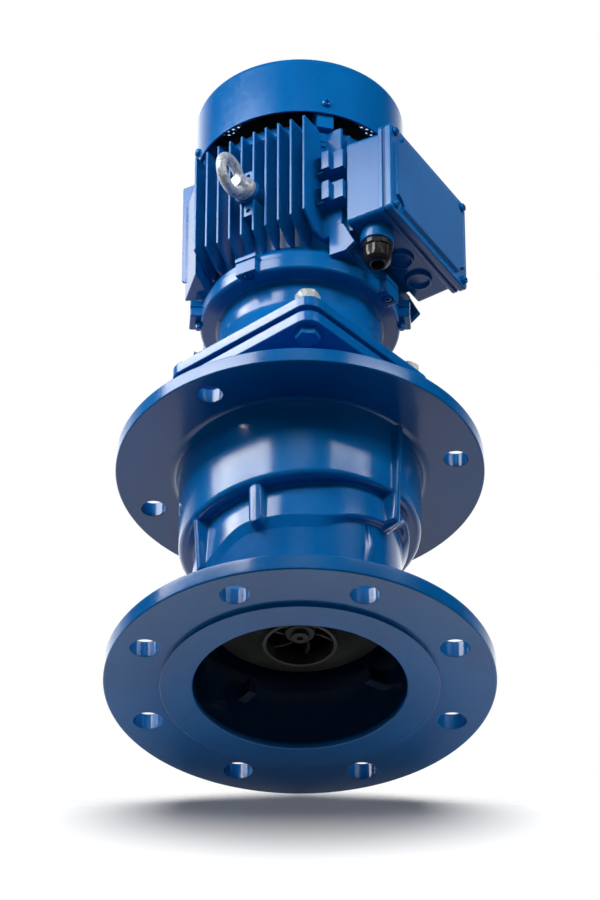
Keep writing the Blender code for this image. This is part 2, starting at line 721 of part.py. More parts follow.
def make_fan_cover():
    """Pressed steel cover, open below, with a perforated end."""
    r, top = FAN_COVER_RADIUS, FAN_COVER_TOP
    w = FAN_COVER_WALL
    cover = turned("fan_cover", [
        (0.0, top),
        (r - 0.0060, top),
        (r - 0.0030, top - 0.0008),
        (r - 0.0008, top - 0.0030),
        (r, top - 0.0060),
        (r, FAN_COVER_BOTTOM),
        (r - w, FAN_COVER_BOTTOM),
        (r - w, top - 0.0060),
        (r - 0.0030 - w, top - 0.0030),
        (r - 0.0060, top - w),
        (0.0, top - w),
    ], False, blue_paint())
    form = bmesh.new()
    for azimuth, reach in grille_places():
        cylinder_form(form, GRILLE_HOLE_RADIUS, top - 0.01, top + 0.01,
                      upright(azimuth, reach), 6)
    holes = as_cutter(add_object("grille_holes", mesh_of("grille_holes", form), CUTTERS))
    boolean(cover, holes, "DIFFERENCE")
    form = bmesh.new()
    for azimuth in rear_ear_azimuths():
        cylinder_form(form, 0.0024, r - 0.01, r + 0.01, outward(azimuth, COVER_SCREW_HEIGHT),
                      SCREW_STEPS)
    side = as_cutter(add_object("cover_screw_holes", mesh_of("cover_screw_holes", form), CUTTERS))
    boolean(cover, side, "DIFFERENCE")
    return cover


def bolt_profile(shank_radius, shank_length, head_radius, head_height, crown):
    """Turned outline of a screw, head up, its head's underside at z = 0."""
    return [
        (0.0, head_height),
        (head_radius - crown, head_height),
        (head_radius, head_height - crown),
        (head_radius, 0.0),
        (shank_radius, 0.0),
        (shank_radius, -shank_length),
        (0.0, -shank_length),
    ]


def hex_cutter(name, flats, z0, z1, place):
    """Hexagonal prism that cuts a round head to its six flats."""
    form = bmesh.new()
    cylinder_form(form, flats / math.sqrt(3), z0, z1, place, 6)
    return as_cutter(add_object(name, mesh_of(name, form), CUTTERS))


def make_plate_bolts():
    """Four painted bolts up through both square plates, with bare nuts on top."""
    names = ("front", "right", "back", "left")
    corner = HEX_FLATS / math.sqrt(3)
    flip = Matrix.Rotation(math.pi, 4, "X")
    for name, azimuth in zip(names, plate_bolt_azimuths()):
        under = LOWER_PLATE_BOTTOM - TOUCH_GAP
        length = UPPER_PLATE_TOP + THREAD_SHOWN - under
        bolt = turned("plate_bolt_" + name,
                      bolt_profile(PLATE_BOLT_RADIUS, length, corner, 0.0068, 0.0009),
                      False, blue_paint(), 12)
        place = upright(azimuth, PLATE_BOLT_CIRCLE, under) @ flip
        bolt.matrix_world = place
        head = hex_cutter("hex_" + bolt.name, HEX_FLATS, -0.05, 0.0065, place)
        boolean(bolt, head, "INTERSECT")
        nut = turned("plate_nut_" + name, [
            (PLATE_BOLT_RADIUS + TOUCH_GAP, NUT_HEIGHT),
            (corner - 0.001, NUT_HEIGHT),
            (corner, NUT_HEIGHT - 0.001),
            (corner, 0.0),
            (PLATE_BOLT_RADIUS + TOUCH_GAP, 0.0),
        ], True, bare_steel(), 12)
        place = upright(azimuth, PLATE_BOLT_CIRCLE, UPPER_PLATE_TOP + TOUCH_GAP)
        nut.matrix_world = place
        flats = hex_cutter("hex_" + nut.name, HEX_FLATS, -0.001, NUT_HEIGHT + 0.001, place)
        boolean(nut, flats, "INTERSECT")


def round_screw(name, place, shank_radius, shank_length, head_radius, head_height):
    """Small round-headed screw, painted over, whose +Z is its head."""
    screw = turned(name, bolt_profile(shank_radius, shank_length, head_radius, head_height,
                                      head_height * 0.4), False, blue_paint(), SCREW_STEPS)
    screw.matrix_world = place
    return screw


def make_small_screws():
    """Screws of the drive end shield, the fan cover and the terminal box lid."""
    for i, azimuth in enumerate(lower_ear_azimuths()):
        flip = Matrix.Rotation(math.pi, 4, "X")
        place = upright(azimuth, EAR_SCREW_REACH, SHIELD_RIM_BOTTOM - 0.0004 - TOUCH_GAP) @ flip
        round_screw("shield_screw_%d" % (i + 1), place, 0.0022, 0.0150, 0.0040, 0.0032)
    for i, azimuth in enumerate(rear_ear_azimuths()):
        place = outward(azimuth, COVER_SCREW_HEIGHT, FAN_COVER_RADIUS + TOUCH_GAP)
        round_screw("fan_cover_screw_%d" % (i + 1), place, 0.0019, 0.0018, 0.0036, 0.0022)
    for i, (along, z) in enumerate(lid_screw_places()):
        place = outward(BOX_AZIMUTH, z, BOX_LID_RIM + TOUCH_GAP, along)
        round_screw("lid_screw_%d" % (i + 1), place, 0.0019, 0.0120, 0.0036, 0.0030)


def lid_screw_places():
    """Along and height of the four screws in the lid's corners."""
    along = BOX_HALF_WIDTH - BOX_SCREW_INSET
    low = BOX_BOTTOM + BOX_SCREW_INSET
    high = BOX_TOP - BOX_SCREW_INSET
    return [(-along, high), (-along, low), (along, low), (along, high)]


def box_body(name, y0, y1, margin, finish, corner=0.004, home=PUMP):
    """Rounded box on the terminal box's axis, between two reaches."""
    form = bmesh.new()
    box_form(form, -BOX_HALF_WIDTH + margin, BOX_HALF_WIDTH - margin, -y1, -y0,
             BOX_BOTTOM + margin, BOX_TOP - margin, upright(BOX_AZIMUTH, 0.0))
    made = add_object(name, mesh_of(name, form), home, finish)
    axis = polar(BOX_AZIMUTH, 1.0)
    depth_edges = bmesh.new()
    depth_edges.from_mesh(made.data)
    weights = depth_edges.edges.layers.float.new("bevel_weight_edge")
    for edge in depth_edges.edges:
        direction = (edge.verts[1].co - edge.verts[0].co).normalized()
        edge[weights] = 1.0 if abs(direction.dot(axis)) > 0.9 else 0.0
    depth_edges.to_mesh(made.data)
    depth_edges.free()
    rounding = made.modifiers.new("corners", "BEVEL")
    rounding.width = corner
    rounding.segments = 3
    rounding.limit_method = "WEIGHT"
    return made


def lid_screw_holes():
    """Cutter for the lid screws' shanks."""
    form = bmesh.new()
    for along, z in lid_screw_places():
        cylinder_form(form, 0.0022, BOX_LID_FRONT - 0.0200, BOX_LID_FRONT + 0.001,
                      outward(BOX_AZIMUTH, z, 0.0, along), SCREW_STEPS)
    return as_cutter(add_object("lid_screw_holes", mesh_of("lid_screw_holes", form), CUTTERS))


def make_terminal_box(screw_holes):
    """Base, gasket and lid, with three entries in the underside."""
    base = box_body("terminal_box", BOX_BACK, BOX_FRONT, 0.0015, blue_paint())
    gland_along = BOX_ENTRY_PLACES[0]
    boss = bmesh.new()
    cylinder_form(boss, 0.0128, BOX_BOTTOM - GLAND_BOSS_DROP, BOX_BOTTOM + 0.010,
                  upright(BOX_AZIMUTH, BOX_ENTRY_REACH, 0.0, gland_along))
    boss_body = as_cutter(add_object("gland_boss", mesh_of("gland_boss", boss), CUTTERS))
    boolean(base, boss_body, "UNION")
    entries = bmesh.new()
    cylinder_form(entries, 0.0083, BOX_BOTTOM - 0.020, BOX_BOTTOM + 0.012,
                  upright(BOX_AZIMUTH, BOX_ENTRY_REACH, 0.0, gland_along))
    for along in BOX_ENTRY_PLACES[1:]:
        cylinder_form(entries, BOX_ENTRY_RADIUS, BOX_BOTTOM - 0.010, BOX_BOTTOM + 0.008,
                      upright(BOX_AZIMUTH, BOX_ENTRY_REACH, 0.0, along))
    holes = as_cutter(add_object("entries", mesh_of("entries", entries), CUTTERS))
    boolean(base, holes, "DIFFERENCE")
    boolean(base, screw_holes, "DIFFERENCE")

    gasket = box_body("terminal_box_gasket", BOX_FRONT + TOUCH_GAP, BOX_FRONT + 0.0015,
                      0.0022, dark_rubber())
    boolean(gasket, screw_holes, "DIFFERENCE")

    lid = box_body("terminal_box_lid", BOX_FRONT + 0.0018, BOX_LID_RIM, 0.0, blue_paint())
    panel = box_body("lid_panel", BOX_LID_RIM - 0.001, BOX_LID_FRONT, BOX_LID_BORDER, None,
                     0.002, CUTTERS)
    notches = bmesh.new()
    for along, z in lid_screw_places():
        cylinder_form(notches, BOX_NOTCH_RADIUS, BOX_LID_RIM - 0.004, BOX_LID_FRONT + 0.004,
                      outward(BOX_AZIMUTH, z, 0.0, along), SMALL_STEPS)
    notch_body = as_cutter(add_object("lid_notches", mesh_of("lid_notches", notches), CUTTERS))
    boolean(panel, notch_body, "DIFFERENCE")
    boolean(lid, as_cutter(applied(panel)), "UNION")
    boolean(lid, screw_holes, "DIFFERENCE")


def make_entry_fittings():
    """The black cable gland and two blanking plugs under the terminal box."""
    place = upright(BOX_AZIMUTH, BOX_ENTRY_REACH, 0.0, BOX_ENTRY_PLACES[0])
    seat = BOX_BOTTOM - GLAND_BOSS_DROP - TOUCH_GAP
    body = turned("cable_gland_body", [
        (0.0040, 0.0150),
        (0.0080, 0.0150),
        (0.0080, 0.0),
        (0.0118, 0.0),
        (0.0118, -GLAND_HEX_HEIGHT),
        (0.0080, -GLAND_HEX_HEIGHT),
        (0.0080, -GLAND_HEX_HEIGHT - 0.004),
        (0.0040, -GLAND_HEX_HEIGHT - 0.004),
    ], True, black_plastic(), SMALL_STEPS)
    body.matrix_world = place @ Matrix.Translation((0, 0, seat))
    nut = turned("cable_gland_nut", [
        (0.0083, 0.0),
        (0.0110, 0.0),
        (0.0110, -0.0075),
        (0.0102, -0.0108),
        (0.0085, -0.0132),
        (0.0062, -0.0145),
        (0.0048, -0.0145),
        (0.0048, -0.0085),
        (0.0083, -0.0072),
    ], True, black_plastic(), SMALL_STEPS)
    nut.matrix_world = place @ Matrix.Translation((0, 0, seat - GLAND_HEX_HEIGHT - TOUCH_GAP))
    for name, along in zip(("blank_plug_middle", "blank_plug_outer"), BOX_ENTRY_PLACES[1:]):
        plug = turned(name, [
            (0.0, 0.0078),
            (0.0100, 0.0078),
            (0.0100, 0.0010),
            (0.0090, 0.0),
            (0.0078, 0.0),
            (0.0074, 0.0030),
            (0.0, 0.0030),
        ], False, blue_paint(), SMALL_STEPS)
        plug.matrix_world = upright(BOX_AZIMUTH, BOX_ENTRY_REACH, BOX_BOTTOM - 0.0001, along)


def make_lifting_eye():
    """Bare steel lifting eye: collar and ring, its plane upright on the boss's axis."""
    ring_curve = bpy.data.curves.new("eye_ring", "CURVE")
    ring_curve.dimensions = "3D"
    spline = ring_curve.splines.new("POLY")
    count = 24
    spline.points.add(count - 1)
    for i in range(count):
        a = 2 * math.pi * i / count
        spline.points[i].co = (EYE_RING_RADIUS * math.cos(a), EYE_RING_RADIUS * math.sin(a), 0, 1)
    spline.use_cyclic_u = True
    ring_curve.bevel_depth = EYE_WIRE_RADIUS
    ring_curve.bevel_resolution = 3
    guide = bpy.data.objects.new("eye_ring_curve", ring_curve)
    CUTTERS.objects.link(guide)
    depsgraph = bpy.context.evaluated_depsgraph_get()
    ring_mesh = bpy.data.meshes.new_from_object(guide.evaluated_get(depsgraph))
    bpy.data.objects.remove(guide, do_unlink=True)
    form = bmesh.new()
    form.from_mesh(ring_mesh)
    bmesh.ops.remove_doubles(form, verts=form.verts[:], dist=0.00001)
    centre = outward(MOTOR_AZIMUTH, EYE_HEIGHT, EYE_RING_REACH)
    form.transform(centre @ Matrix.Rotation(math.radians(90.0), 4, "Y"))
    ring = as_cutter(add_object("eye_ring_body", mesh_of("eye_ring_body", form), CUTTERS))

    seat = EYE_BOSS_REACH + TOUCH_GAP
    eye = turned("lifting_eye", [
        (0.0, EYE_RING_REACH - EYE_RING_RADIUS - seat + 0.002),
        (0.0060, EYE_RING_REACH - EYE_RING_RADIUS - seat + 0.001),
        (0.0075, 0.0055),
        (0.0098, 0.0040),
        (0.0098, 0.0),
        (0.0, 0.0),
    ], False, bare_steel(), SMALL_STEPS)
    eye.matrix_world = outward(MOTOR_AZIMUTH, EYE_HEIGHT, seat)
    boolean(eye, ring, "UNION")
    return eye


def blade_form(form, start_angle, inner, outer, z0, z1, thickness, sweep, points=9):
    """One curved blade, as a closed strip from the hub to the rim."""
    rails = []
    for side in (-0.5, 0.5):
        rail = []
        for i in range(points):
            f = i / (points - 1)
            r = inner + (outer - inner) * f
            a = start_angle + sweep * f
            across = side * thickness / r
            rail.append((r * math.cos(a + across), r * math.sin(a + across)))
        rails.append(rail)
    outline = rails[0] + rails[1][::-1]
    prism_form(form, outline, z0, z1)


def make_impeller():
    """Closed impeller: hub, back plate, curved blades and a flared front shroud."""
    back = IMPELLER_BACK_Z
    impeller = turned("impeller", [
        (SHAFT_RADIUS + TOUCH_GAP, back + 0.012),
        (0.017, back + 0.012),
        (0.018, back + 0.004),
        (IMPELLER_RADIUS, back + 0.004),
        (IMPELLER_RADIUS, back),
        (0.030, back),
        (0.0150, back - 0.018),
        (0.0108, 0.050),
        (SHAFT_RADIUS + TOUCH_GAP, 0.050),
    ], True, dark_iron())
    blades = bmesh.new()
    for i in range(IMPELLER_BLADES):
        angle = 2 * math.pi * i / IMPELLER_BLADES
        blade_form(blades, angle, 0.0112, IMPELLER_RADIUS - 0.0005, 0.0475, back + 0.001,
                   0.0024, 1.35)
    blade_set = as_cutter(add_object("blades", mesh_of("blades", blades), CUTTERS))
    shroud = turned("front_shroud", [
        (IMPELLER_EYE_RADIUS - 0.0028, IMPELLER_EYE_Z + 0.010),
        (IMPELLER_EYE_RADIUS + 0.0020, IMPELLER_EYE_Z + 0.0185),
        (0.045, IMPELLER_SHROUD_Z + 0.0012),
        (IMPELLER_RADIUS, IMPELLER_SHROUD_Z + 0.0032),
        (IMPELLER_RADIUS, IMPELLER_SHROUD_Z),
        (0.045, IMPELLER_SHROUD_Z - 0.0026),
        (0.0335, IMPELLER_EYE_Z + 0.0125),
        (IMPELLER_EYE_RADIUS + 0.0012, IMPELLER_EYE_Z + 0.007),
        (IMPELLER_EYE_RADIUS, IMPELLER_EYE_Z),
        (IMPELLER_EYE_RADIUS - 0.0028, IMPELLER_EYE_Z),
    ], True, None, ROUND_STEPS, CUTTERS)
    trim = turned("blade_trim", [
        (0.0, 0.100),
        (IMPELLER_RADIUS - 0.0002, 0.100),
        (IMPELLER_RADIUS - 0.0002, IMPELLER_SHROUD_Z + 0.001),
        (0.045, IMPELLER_SHROUD_Z - 0.0006),
        (0.0335, IMPELLER_EYE_Z + 0.0150),
        (IMPELLER_EYE_RADIUS - 0.001, IMPELLER_EYE_Z + 0.0085),
        (0.0, IMPELLER_EYE_Z + 0.0085),
    ], False, None, ROUND_STEPS, CUTTERS)
    boolean(blade_set, as_cutter(trim), "INTERSECT")
    boolean(impeller, as_cutter(shroud), "UNION")
    boolean(impeller, blade_set, "UNION")
    return impeller


def make_cooling_fan():
    """Plastic fan on the rear end of the shaft: open paddles on a small hub."""
    disc = FAN_DISC_HEIGHT
    fan = turned("cooling_fan", [
        (SHAFT_RADIUS + TOUCH_GAP, disc + 0.0240),
        (0.0170, disc + 0.0240),
        (0.0180, disc + 0.0030),
        (FAN_HUB_RADIUS, disc + 0.0010),
        (FAN_HUB_RADIUS, disc - 0.0020),
        (0.0180, disc - 0.0035),
        (SHAFT_RADIUS + TOUCH_GAP, disc - 0.0035),
    ], True, black_plastic())
    form = bmesh.new()
    for i in range(FAN_BLADES):
        box_form(form, 0.016, FAN_RADIUS, -0.001, 0.001, disc - 0.0015,
                 disc + FAN_BLADE_HEIGHT, Matrix.Rotation(2 * math.pi * i / FAN_BLADES, 4, "Z"))
    blades = as_cutter(add_object("fan_blades", mesh_of("fan_blades", form), CUTTERS))
    boolean(fan, blades, "UNION")
    return fan


def make_rotor():
    """Shaft, impeller, its cap screw and the cooling fan, on one axis."""
    turned("shaft", [
        (0.0, SHAFT_TOP),
        (SHAFT_RADIUS - 0.001, SHAFT_TOP),
        (SHAFT_RADIUS, SHAFT_TOP - 0.001),
        (SHAFT_RADIUS, SHAFT_BOTTOM),
        (0.0, SHAFT_BOTTOM),
    ], False, bare_steel(), SMALL_STEPS)
    make_impeller()
    turned("impeller_cap_screw", [
        (0.0, 0.0495),
        (0.0105, 0.0495),
        (0.0105, 0.0478),
        (0.0064, 0.0478),
        (0.0060, 0.0440),
        (0.0022, 0.0440),
        (0.0022, 0.0462),
        (0.0, 0.0462),
    ], False, dark_iron(), SMALL_STEPS)
    make_cooling_fan()


def main():
    bolt_holes = hole_ring("plate_bolt_holes", plate_bolt_azimuths(), PLATE_BOLT_CIRCLE,
                           PLATE_BOLT_RADIUS + 0.0005, LOWER_PLATE_BOTTOM - 0.02,
                           UPPER_PLATE_TOP + 0.02)
    screw_holes = hole_ring("shield_screw_holes", lower_ear_azimuths(), EAR_SCREW_REACH, 0.0025,
                            SHIELD_RIM_BOTTOM - 0.01, SHIELD_RIM_BOTTOM + 0.016)
    shaft_hole = hole_ring("frame_shaft_hole", (0.0,), 0.0, SHAFT_BORE_RADIUS,
                           FRAME_BOTTOM - 0.01, FRAME_TOP + 0.01)
    lid_holes = lid_screw_holes()
    make_pump_casing()
    make_casing_cover(bolt_holes)
    make_drive_end_shield(bolt_holes, screw_holes)
    make_motor_frame(screw_holes, shaft_hole)
    make_rear_end_shield()
    make_fan_cover()
    make_terminal_box(lid_holes)
    make_entry_fittings()
    make_lifting_eye()
    make_plate_bolts()
    make_small_screws()
    make_rotor()


main()
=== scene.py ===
# %% [markdown]
# # An inline pump in blue enamel
#
# The object is a cast pump body between two round flanges, with a closed impeller in its
# bore and a finned electric motor standing on it. The imported solids give every size and
# every moving body. This lesson dresses them: each piece is modelled again with the
# rounded edges, fillets and small parts that a maker would see, and each surface gets a
# finish built from nodes. The imported solids are loaded first, and some sizes are read
# from their boxes.

# %% Load the imported pump
import math

import bmesh
import bpy
from mathutils import Matrix, Vector


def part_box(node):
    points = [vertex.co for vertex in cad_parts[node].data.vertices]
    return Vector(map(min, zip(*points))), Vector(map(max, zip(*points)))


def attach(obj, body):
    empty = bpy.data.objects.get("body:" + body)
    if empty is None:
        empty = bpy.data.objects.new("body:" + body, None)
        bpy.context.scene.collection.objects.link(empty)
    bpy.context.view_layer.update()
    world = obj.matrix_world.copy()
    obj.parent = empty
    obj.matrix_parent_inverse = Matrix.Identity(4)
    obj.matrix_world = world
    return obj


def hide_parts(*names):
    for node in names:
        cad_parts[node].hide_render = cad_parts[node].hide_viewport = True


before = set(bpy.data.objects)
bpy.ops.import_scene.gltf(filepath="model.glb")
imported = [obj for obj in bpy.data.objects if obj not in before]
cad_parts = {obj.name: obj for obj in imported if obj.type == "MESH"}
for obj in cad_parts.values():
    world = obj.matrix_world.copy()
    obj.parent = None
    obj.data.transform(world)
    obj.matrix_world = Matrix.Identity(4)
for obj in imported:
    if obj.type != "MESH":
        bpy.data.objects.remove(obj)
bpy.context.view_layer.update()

# %% [markdown]
# ## Driving sizes
#
# Everything is turned about one upright shaft, so a place is an azimuth from the front, a
# reach from the shaft and a height. The sizes below are the ones that several pieces
# share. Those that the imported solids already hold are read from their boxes.

# %% Shared sizes, in metres
FLANGE_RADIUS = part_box("pump_casing")[1].x
CASING_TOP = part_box("pump_casing")[1].z
UPPER_FLANGE_RADIUS = 0.1377
UPPER_FLANGE_UNDERSIDE = 0.193
UPPER_FLANGE_TOP = CASING_TOP - 0.0008
SUCTION_FLANGE_TOP = 0.0165
RAISED_FACE_RADIUS = 0.1014
RAISED_FACE_HEIGHT = 0.0030
BORE_RADIUS = 0.0776
CHAMBER_RADIUS = 0.0715
WAIST_RADIUS = 0.0785
MIDDLE_RADIUS = 0.0835
BAND_RADIUS = 0.0905
PLATE_AZIMUTH = 4.0
PLATE_BOLT_CIRCLE = 0.0815
LOWER_PLATE = (0.2640, 0.2740)
UPPER_PLATE = (0.2785, 0.2880)
EYE_AZIMUTH = -30.5
BOX_AZIMUTH = EYE_AZIMUTH + 90.0
REAR_LUG_AZIMUTH = EYE_AZIMUTH + 45.0
FRAME_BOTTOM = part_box("motor_frame")[0].z
FRAME_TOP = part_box("motor_frame")[1].z
BARREL_RADIUS = 0.062
FAN_COVER_RADIUS = 0.0812
FAN_COVER_BOTTOM, FAN_COVER_TOP = (corner.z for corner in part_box("fan_cover"))
TOUCH = 0.0003
print("casing top %.4f, motor frame %.4f to %.4f" % (CASING_TOP, FRAME_BOTTOM, FRAME_TOP))

# %% [markdown]
# ## Places round the shaft
#
# A part that stands up, such as a bolt, needs a matrix that keeps its +Z upwards. A part
# that sticks out, such as the lifting eye, needs its +Z pointing away from the shaft. Both
# are a turn about the shaft after a move, so two small functions cover every piece.

# %% Matrices for standing and for outward parts
def place_at(azimuth, reach, z, along=0.0):
    """Point at an azimuth and reach from the shaft, shifted along the tangent."""
    a = math.radians(azimuth)
    return Vector((reach * math.sin(a) + along * math.cos(a),
                   along * math.sin(a) - reach * math.cos(a), z))


def standing(azimuth, reach=0.0, z=0.0, along=0.0):
    """Matrix that keeps +Z up; its -Y points away from the shaft."""
    turn = Matrix.Rotation(math.radians(azimuth), 4, "Z")
    return Matrix.Translation(place_at(azimuth, reach, z, along)) @ turn


def pointing_out(azimuth, reach=0.0, z=0.0, along=0.0):
    """Matrix whose +Z points away from the shaft and whose +Y points up."""
    return standing(azimuth, reach, z, along) @ Matrix.Rotation(math.radians(90.0), 4, "X")


# %% [markdown]
# ## Outlines with real fillets
#
# A casting has no sharp corner, and a machined part has a small chamfer, so light always
# catches a thin line there. An outline is written as its corners, each with a radius, and
# one function puts the arcs in. It is used for turned sections and for flat shapes alike.

# %% Round the corners of an outline
def rounded(corners, closed=True, step=20.0, count=None):
    """Points of an outline whose (x, y, radius) corners are rounded by arcs."""
    points = []
    last = len(corners) - 1
    for i, (x, y, radius) in enumerate(corners):
        here = Vector((x, y))
        if radius <= 0.0 or (not closed and i in (0, last)):
            points.append(here)
            continue
        back = Vector(corners[i - 1][:2]) - here
        on = Vector(corners[(i + 1) % len(corners)][:2]) - here
        inside = back.angle(on)
        cut = min(radius / math.tan(inside / 2), 0.49 * back.length, 0.49 * on.length)
        radius = cut * math.tan(inside / 2)
        halfway = (back.normalized() + on.normalized()).normalized()
        middle = here + halfway * radius / math.sin(inside / 2)
        first = here + back.normalized() * cut - middle
        end = here + on.normalized() * cut - middle
        turn = math.copysign(math.pi - inside, first.cross(end))
        pieces = count or max(2, math.ceil(math.degrees(abs(turn)) / step))
        for k in range(pieces + 1):
            points.append(middle + Matrix.Rotation(turn * k / pieces, 2) @ first)
    return points


# %% [markdown]
# ## Turned, flat and joined forms
#
# Most of the pump is turned or is a flat shape with thickness. `turned` sweeps an outline
# about the shaft, closing its poles. `slab` gives an outline thickness and bevels its
# edges. `joined` and `cut` are exact booleans whose result is made a plain mesh at once,
# so that each finished piece sits at the origin with its place in its mesh.

# %% Forms
def turned(outline, steps, ring=False, place=None):
    """Mesh form of (reach, height) points swept round the shaft; ring closes the section."""
    form = bmesh.new()
    rings = []
    for reach, z in outline:
        if reach < 1e-6:
            rings.append([form.verts.new((0.0, 0.0, z))] * steps)
            continue
        angles = [2 * math.pi * k / steps for k in range(steps)]
        rings.append([form.verts.new((reach * math.cos(a), reach * math.sin(a), z))
                      for a in angles])
    pairs = list(zip(rings, rings[1:])) + ([(rings[-1], rings[0])] if ring else [])
    for one, two in pairs:
        for k in range(steps):
            after = (k + 1) % steps
            corners = list(dict.fromkeys((one[k], two[k], two[after], one[after])))
            if len(corners) > 2:
                form.faces.new(corners)
    if place:
        form.transform(place)
    return form


def slab(outline, z0, z1, edge=0.0, segments=2, place=None, taper=None):
    """Mesh form of a flat outline given thickness, its sharp edges bevelled."""
    form = bmesh.new()
    low = [form.verts.new((x, y, z0)) for x, y in outline]
    high = [form.verts.new((x, y, z1)) for x, y in outline]
    form.faces.new(low[::-1])
    form.faces.new(high)
    for k in range(len(outline)):
        after = (k + 1) % len(outline)
        form.faces.new((low[k], low[after], high[after], high[k]))
    bmesh.ops.recalc_face_normals(form, faces=form.faces[:])
    if taper:
        for vert in form.verts:
            vert.co = taper(vert.co)
    if edge:
        form.normal_update()
        sharp = [e for e in form.edges if e.calc_face_angle(0.0) > math.radians(33.0)]
        bmesh.ops.bevel(form, geom=sharp, offset=edge, segments=segments, profile=0.5,
                        affect="EDGES", clamp_overlap=True)
    if place:
        form.transform(place)
    return form


def brick(x, y, z, edge=0.0006, place=None):
    """Mesh form of a block between three pairs of limits, its edges rounded."""
    corners = [(x[0], y[0]), (x[1], y[0]), (x[1], y[1]), (x[0], y[1])]
    return slab(corners, z[0], z[1], edge, 2, place)


def rounded_rectangle(x, y, radius, step=15.0):
    return rounded([(x[0], y[0], radius), (x[1], y[0], radius),
                    (x[1], y[1], radius), (x[0], y[1], radius)], step=step)


def piece_from(name, *forms):
    """One object from several mesh forms, faces outwards, left as separate shells."""
    mesh = bpy.data.meshes.new(name)
    whole = bmesh.new()
    for form in forms:
        bmesh.ops.recalc_face_normals(form, faces=form.faces[:])
        form.to_mesh(mesh)
        form.free()
        whole.from_mesh(mesh)
    whole.to_mesh(mesh)
    whole.free()
    piece = bpy.data.objects.new(name, mesh)
    bpy.context.scene.collection.objects.link(piece)
    return piece


def settled(piece):
    """Make what a piece's modifiers show its own plain mesh."""
    depsgraph = bpy.context.evaluated_depsgraph_get()
    mesh = bpy.data.meshes.new_from_object(piece.evaluated_get(depsgraph), depsgraph=depsgraph)
    piece.modifiers.clear()
    piece.data = mesh
    return piece


def boolean(piece, others, operation):
    for other in others:
        step = piece.modifiers.new("boolean", "BOOLEAN")
        step.solver = "EXACT"
        step.operation = operation
        step.object = other
        settled(piece)
        bpy.data.objects.remove(other, do_unlink=True)
    return piece


def joined(piece, *others):
    return boolean(piece, others, "UNION")


def cut(piece, *others):
    return boolean(piece, others, "DIFFERENCE")


# %% [markdown]
# ## Dressing a piece
#
# A piece is smooth shaded except over its sharp edges, and weighted normals keep its flat
# faces flat beside their small fillets. Then it rides on its body, and its imported nodes
# are hidden.

# %% Finish, body and nodes in one call
def dress(piece, finish, body, slot, *nodes, sharp=40.0):
    """Finish a piece, put it on its body and hide the imported nodes it stands for."""
    mesh = piece.data
    mesh.materials.clear()
    mesh.materials.append(finish)
    mesh.polygons.foreach_set("material_index", [0] * len(mesh.polygons))
    mesh.shade_smooth()
    mesh.set_sharp_from_angle(angle=math.radians(sharp))
    weigh = piece.modifiers.new("weighted", "WEIGHTED_NORMAL")
    weigh.keep_sharp = True
    settled(piece)
    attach(piece, body)
    if nodes:
        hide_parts(*nodes)
    triangles = sum(len(polygon.vertices) - 2 for polygon in piece.data.polygons)
    print("%-22s %7d triangles" % (piece.name, triangles))
    return piece


# %% [markdown]
# ## Sums written as sums
#
# Shader and geometry nodes both reckon with sockets. Wrapping a socket in a small class
# lets a formula read as a formula: each operator adds its Math node. Every other node comes
# from one method that takes its type, its settings and what its sockets get.

# %% A socket that takes part in sums
class Wire:
    """An output socket that Python's operators can reckon with."""

    def __init__(self, net, socket):
        self.net = net
        self.socket = socket

    def __add__(self, other):
        return self.net.maths("ADD", self, other)

    def __sub__(self, other):
        return self.net.maths("SUBTRACT", self, other)

    def __rsub__(self, other):
        return self.net.maths("SUBTRACT", other, self)

    def __mul__(self, other):
        return self.net.maths("MULTIPLY", self, other)

    def __truediv__(self, other):
        return self.net.maths("DIVIDE", self, other)

    def __rtruediv__(self, other):
        return self.net.maths("DIVIDE", other, self)

    __radd__ = __add__
    __rmul__ = __mul__


class Net:
    """A node tree that is written call by call."""

    def __init__(self, tree):
        self.tree = tree
        tree.nodes.clear()

    def node(self, kind, settings=None, inputs=None, give=0):
        """Add a node, set it up, feed it, and return one of its outputs (or the node)."""
        made = self.tree.nodes.new(kind)
        for setting, value in (settings or {}).items():
            setattr(made, setting, value)
        for socket, value in (inputs or {}).items():
            self.feed(made.inputs[socket], value)
        return made if give is None else Wire(self, made.outputs[give])

    def feed(self, socket, value):
        if isinstance(value, Wire):
            self.tree.links.new(value.socket, socket)
        else:
            socket.default_value = value

    def maths(self, operation, *values):
        return self.node("ShaderNodeMath", {"operation": operation}, dict(enumerate(values)))

    def ramp(self, value, low, high, start=0.0, end=1.0):
        """Value eased from start to end between two limits."""
        return self.node("ShaderNodeMapRange", {"interpolation_type": "SMOOTHSTEP"},
                         {"Value": value, "From Min": low, "From Max": high,
                          "To Min": start, "To Max": end})


# %% [markdown]
# ## The finishes
#
# The pump is sprayed with one blue enamel, but it lies differently on each surface. On the
# sand castings it follows a coarse skin and dries with orange peel, which breaks the edge
# of every highlight. On the pressed fan cover and the die-cast box it is nearly smooth.
# So one function makes the enamel, and its grain, depth and gloss are chosen per surface.
# The noise reads object coordinates, so its grain is true to scale.
# On the casting, shade is also painted onto the wall of the suction bore.

# %% Grain, mottle and spots shared by the finishes
def grain(net, scale, detail=2.0, stretch=(1.0, 1.0, 1.0)):
    """Noise over the piece, scale cells to the metre."""
    place = net.node("ShaderNodeTexCoord", give="Object")
    place = net.node("ShaderNodeMapping", None, {"Vector": place, "Scale": stretch})
    return net.node("ShaderNodeTexNoise", None, {"Vector": place, "Scale": scale,
                                                 "Detail": detail, "Roughness": 0.5})


def tint(net, share, one, two):
    """Colour that goes from one to two by a share."""
    return net.node("ShaderNodeMix", {"data_type": "RGBA"}, {0: share, 6: one, 7: two}, give=2)


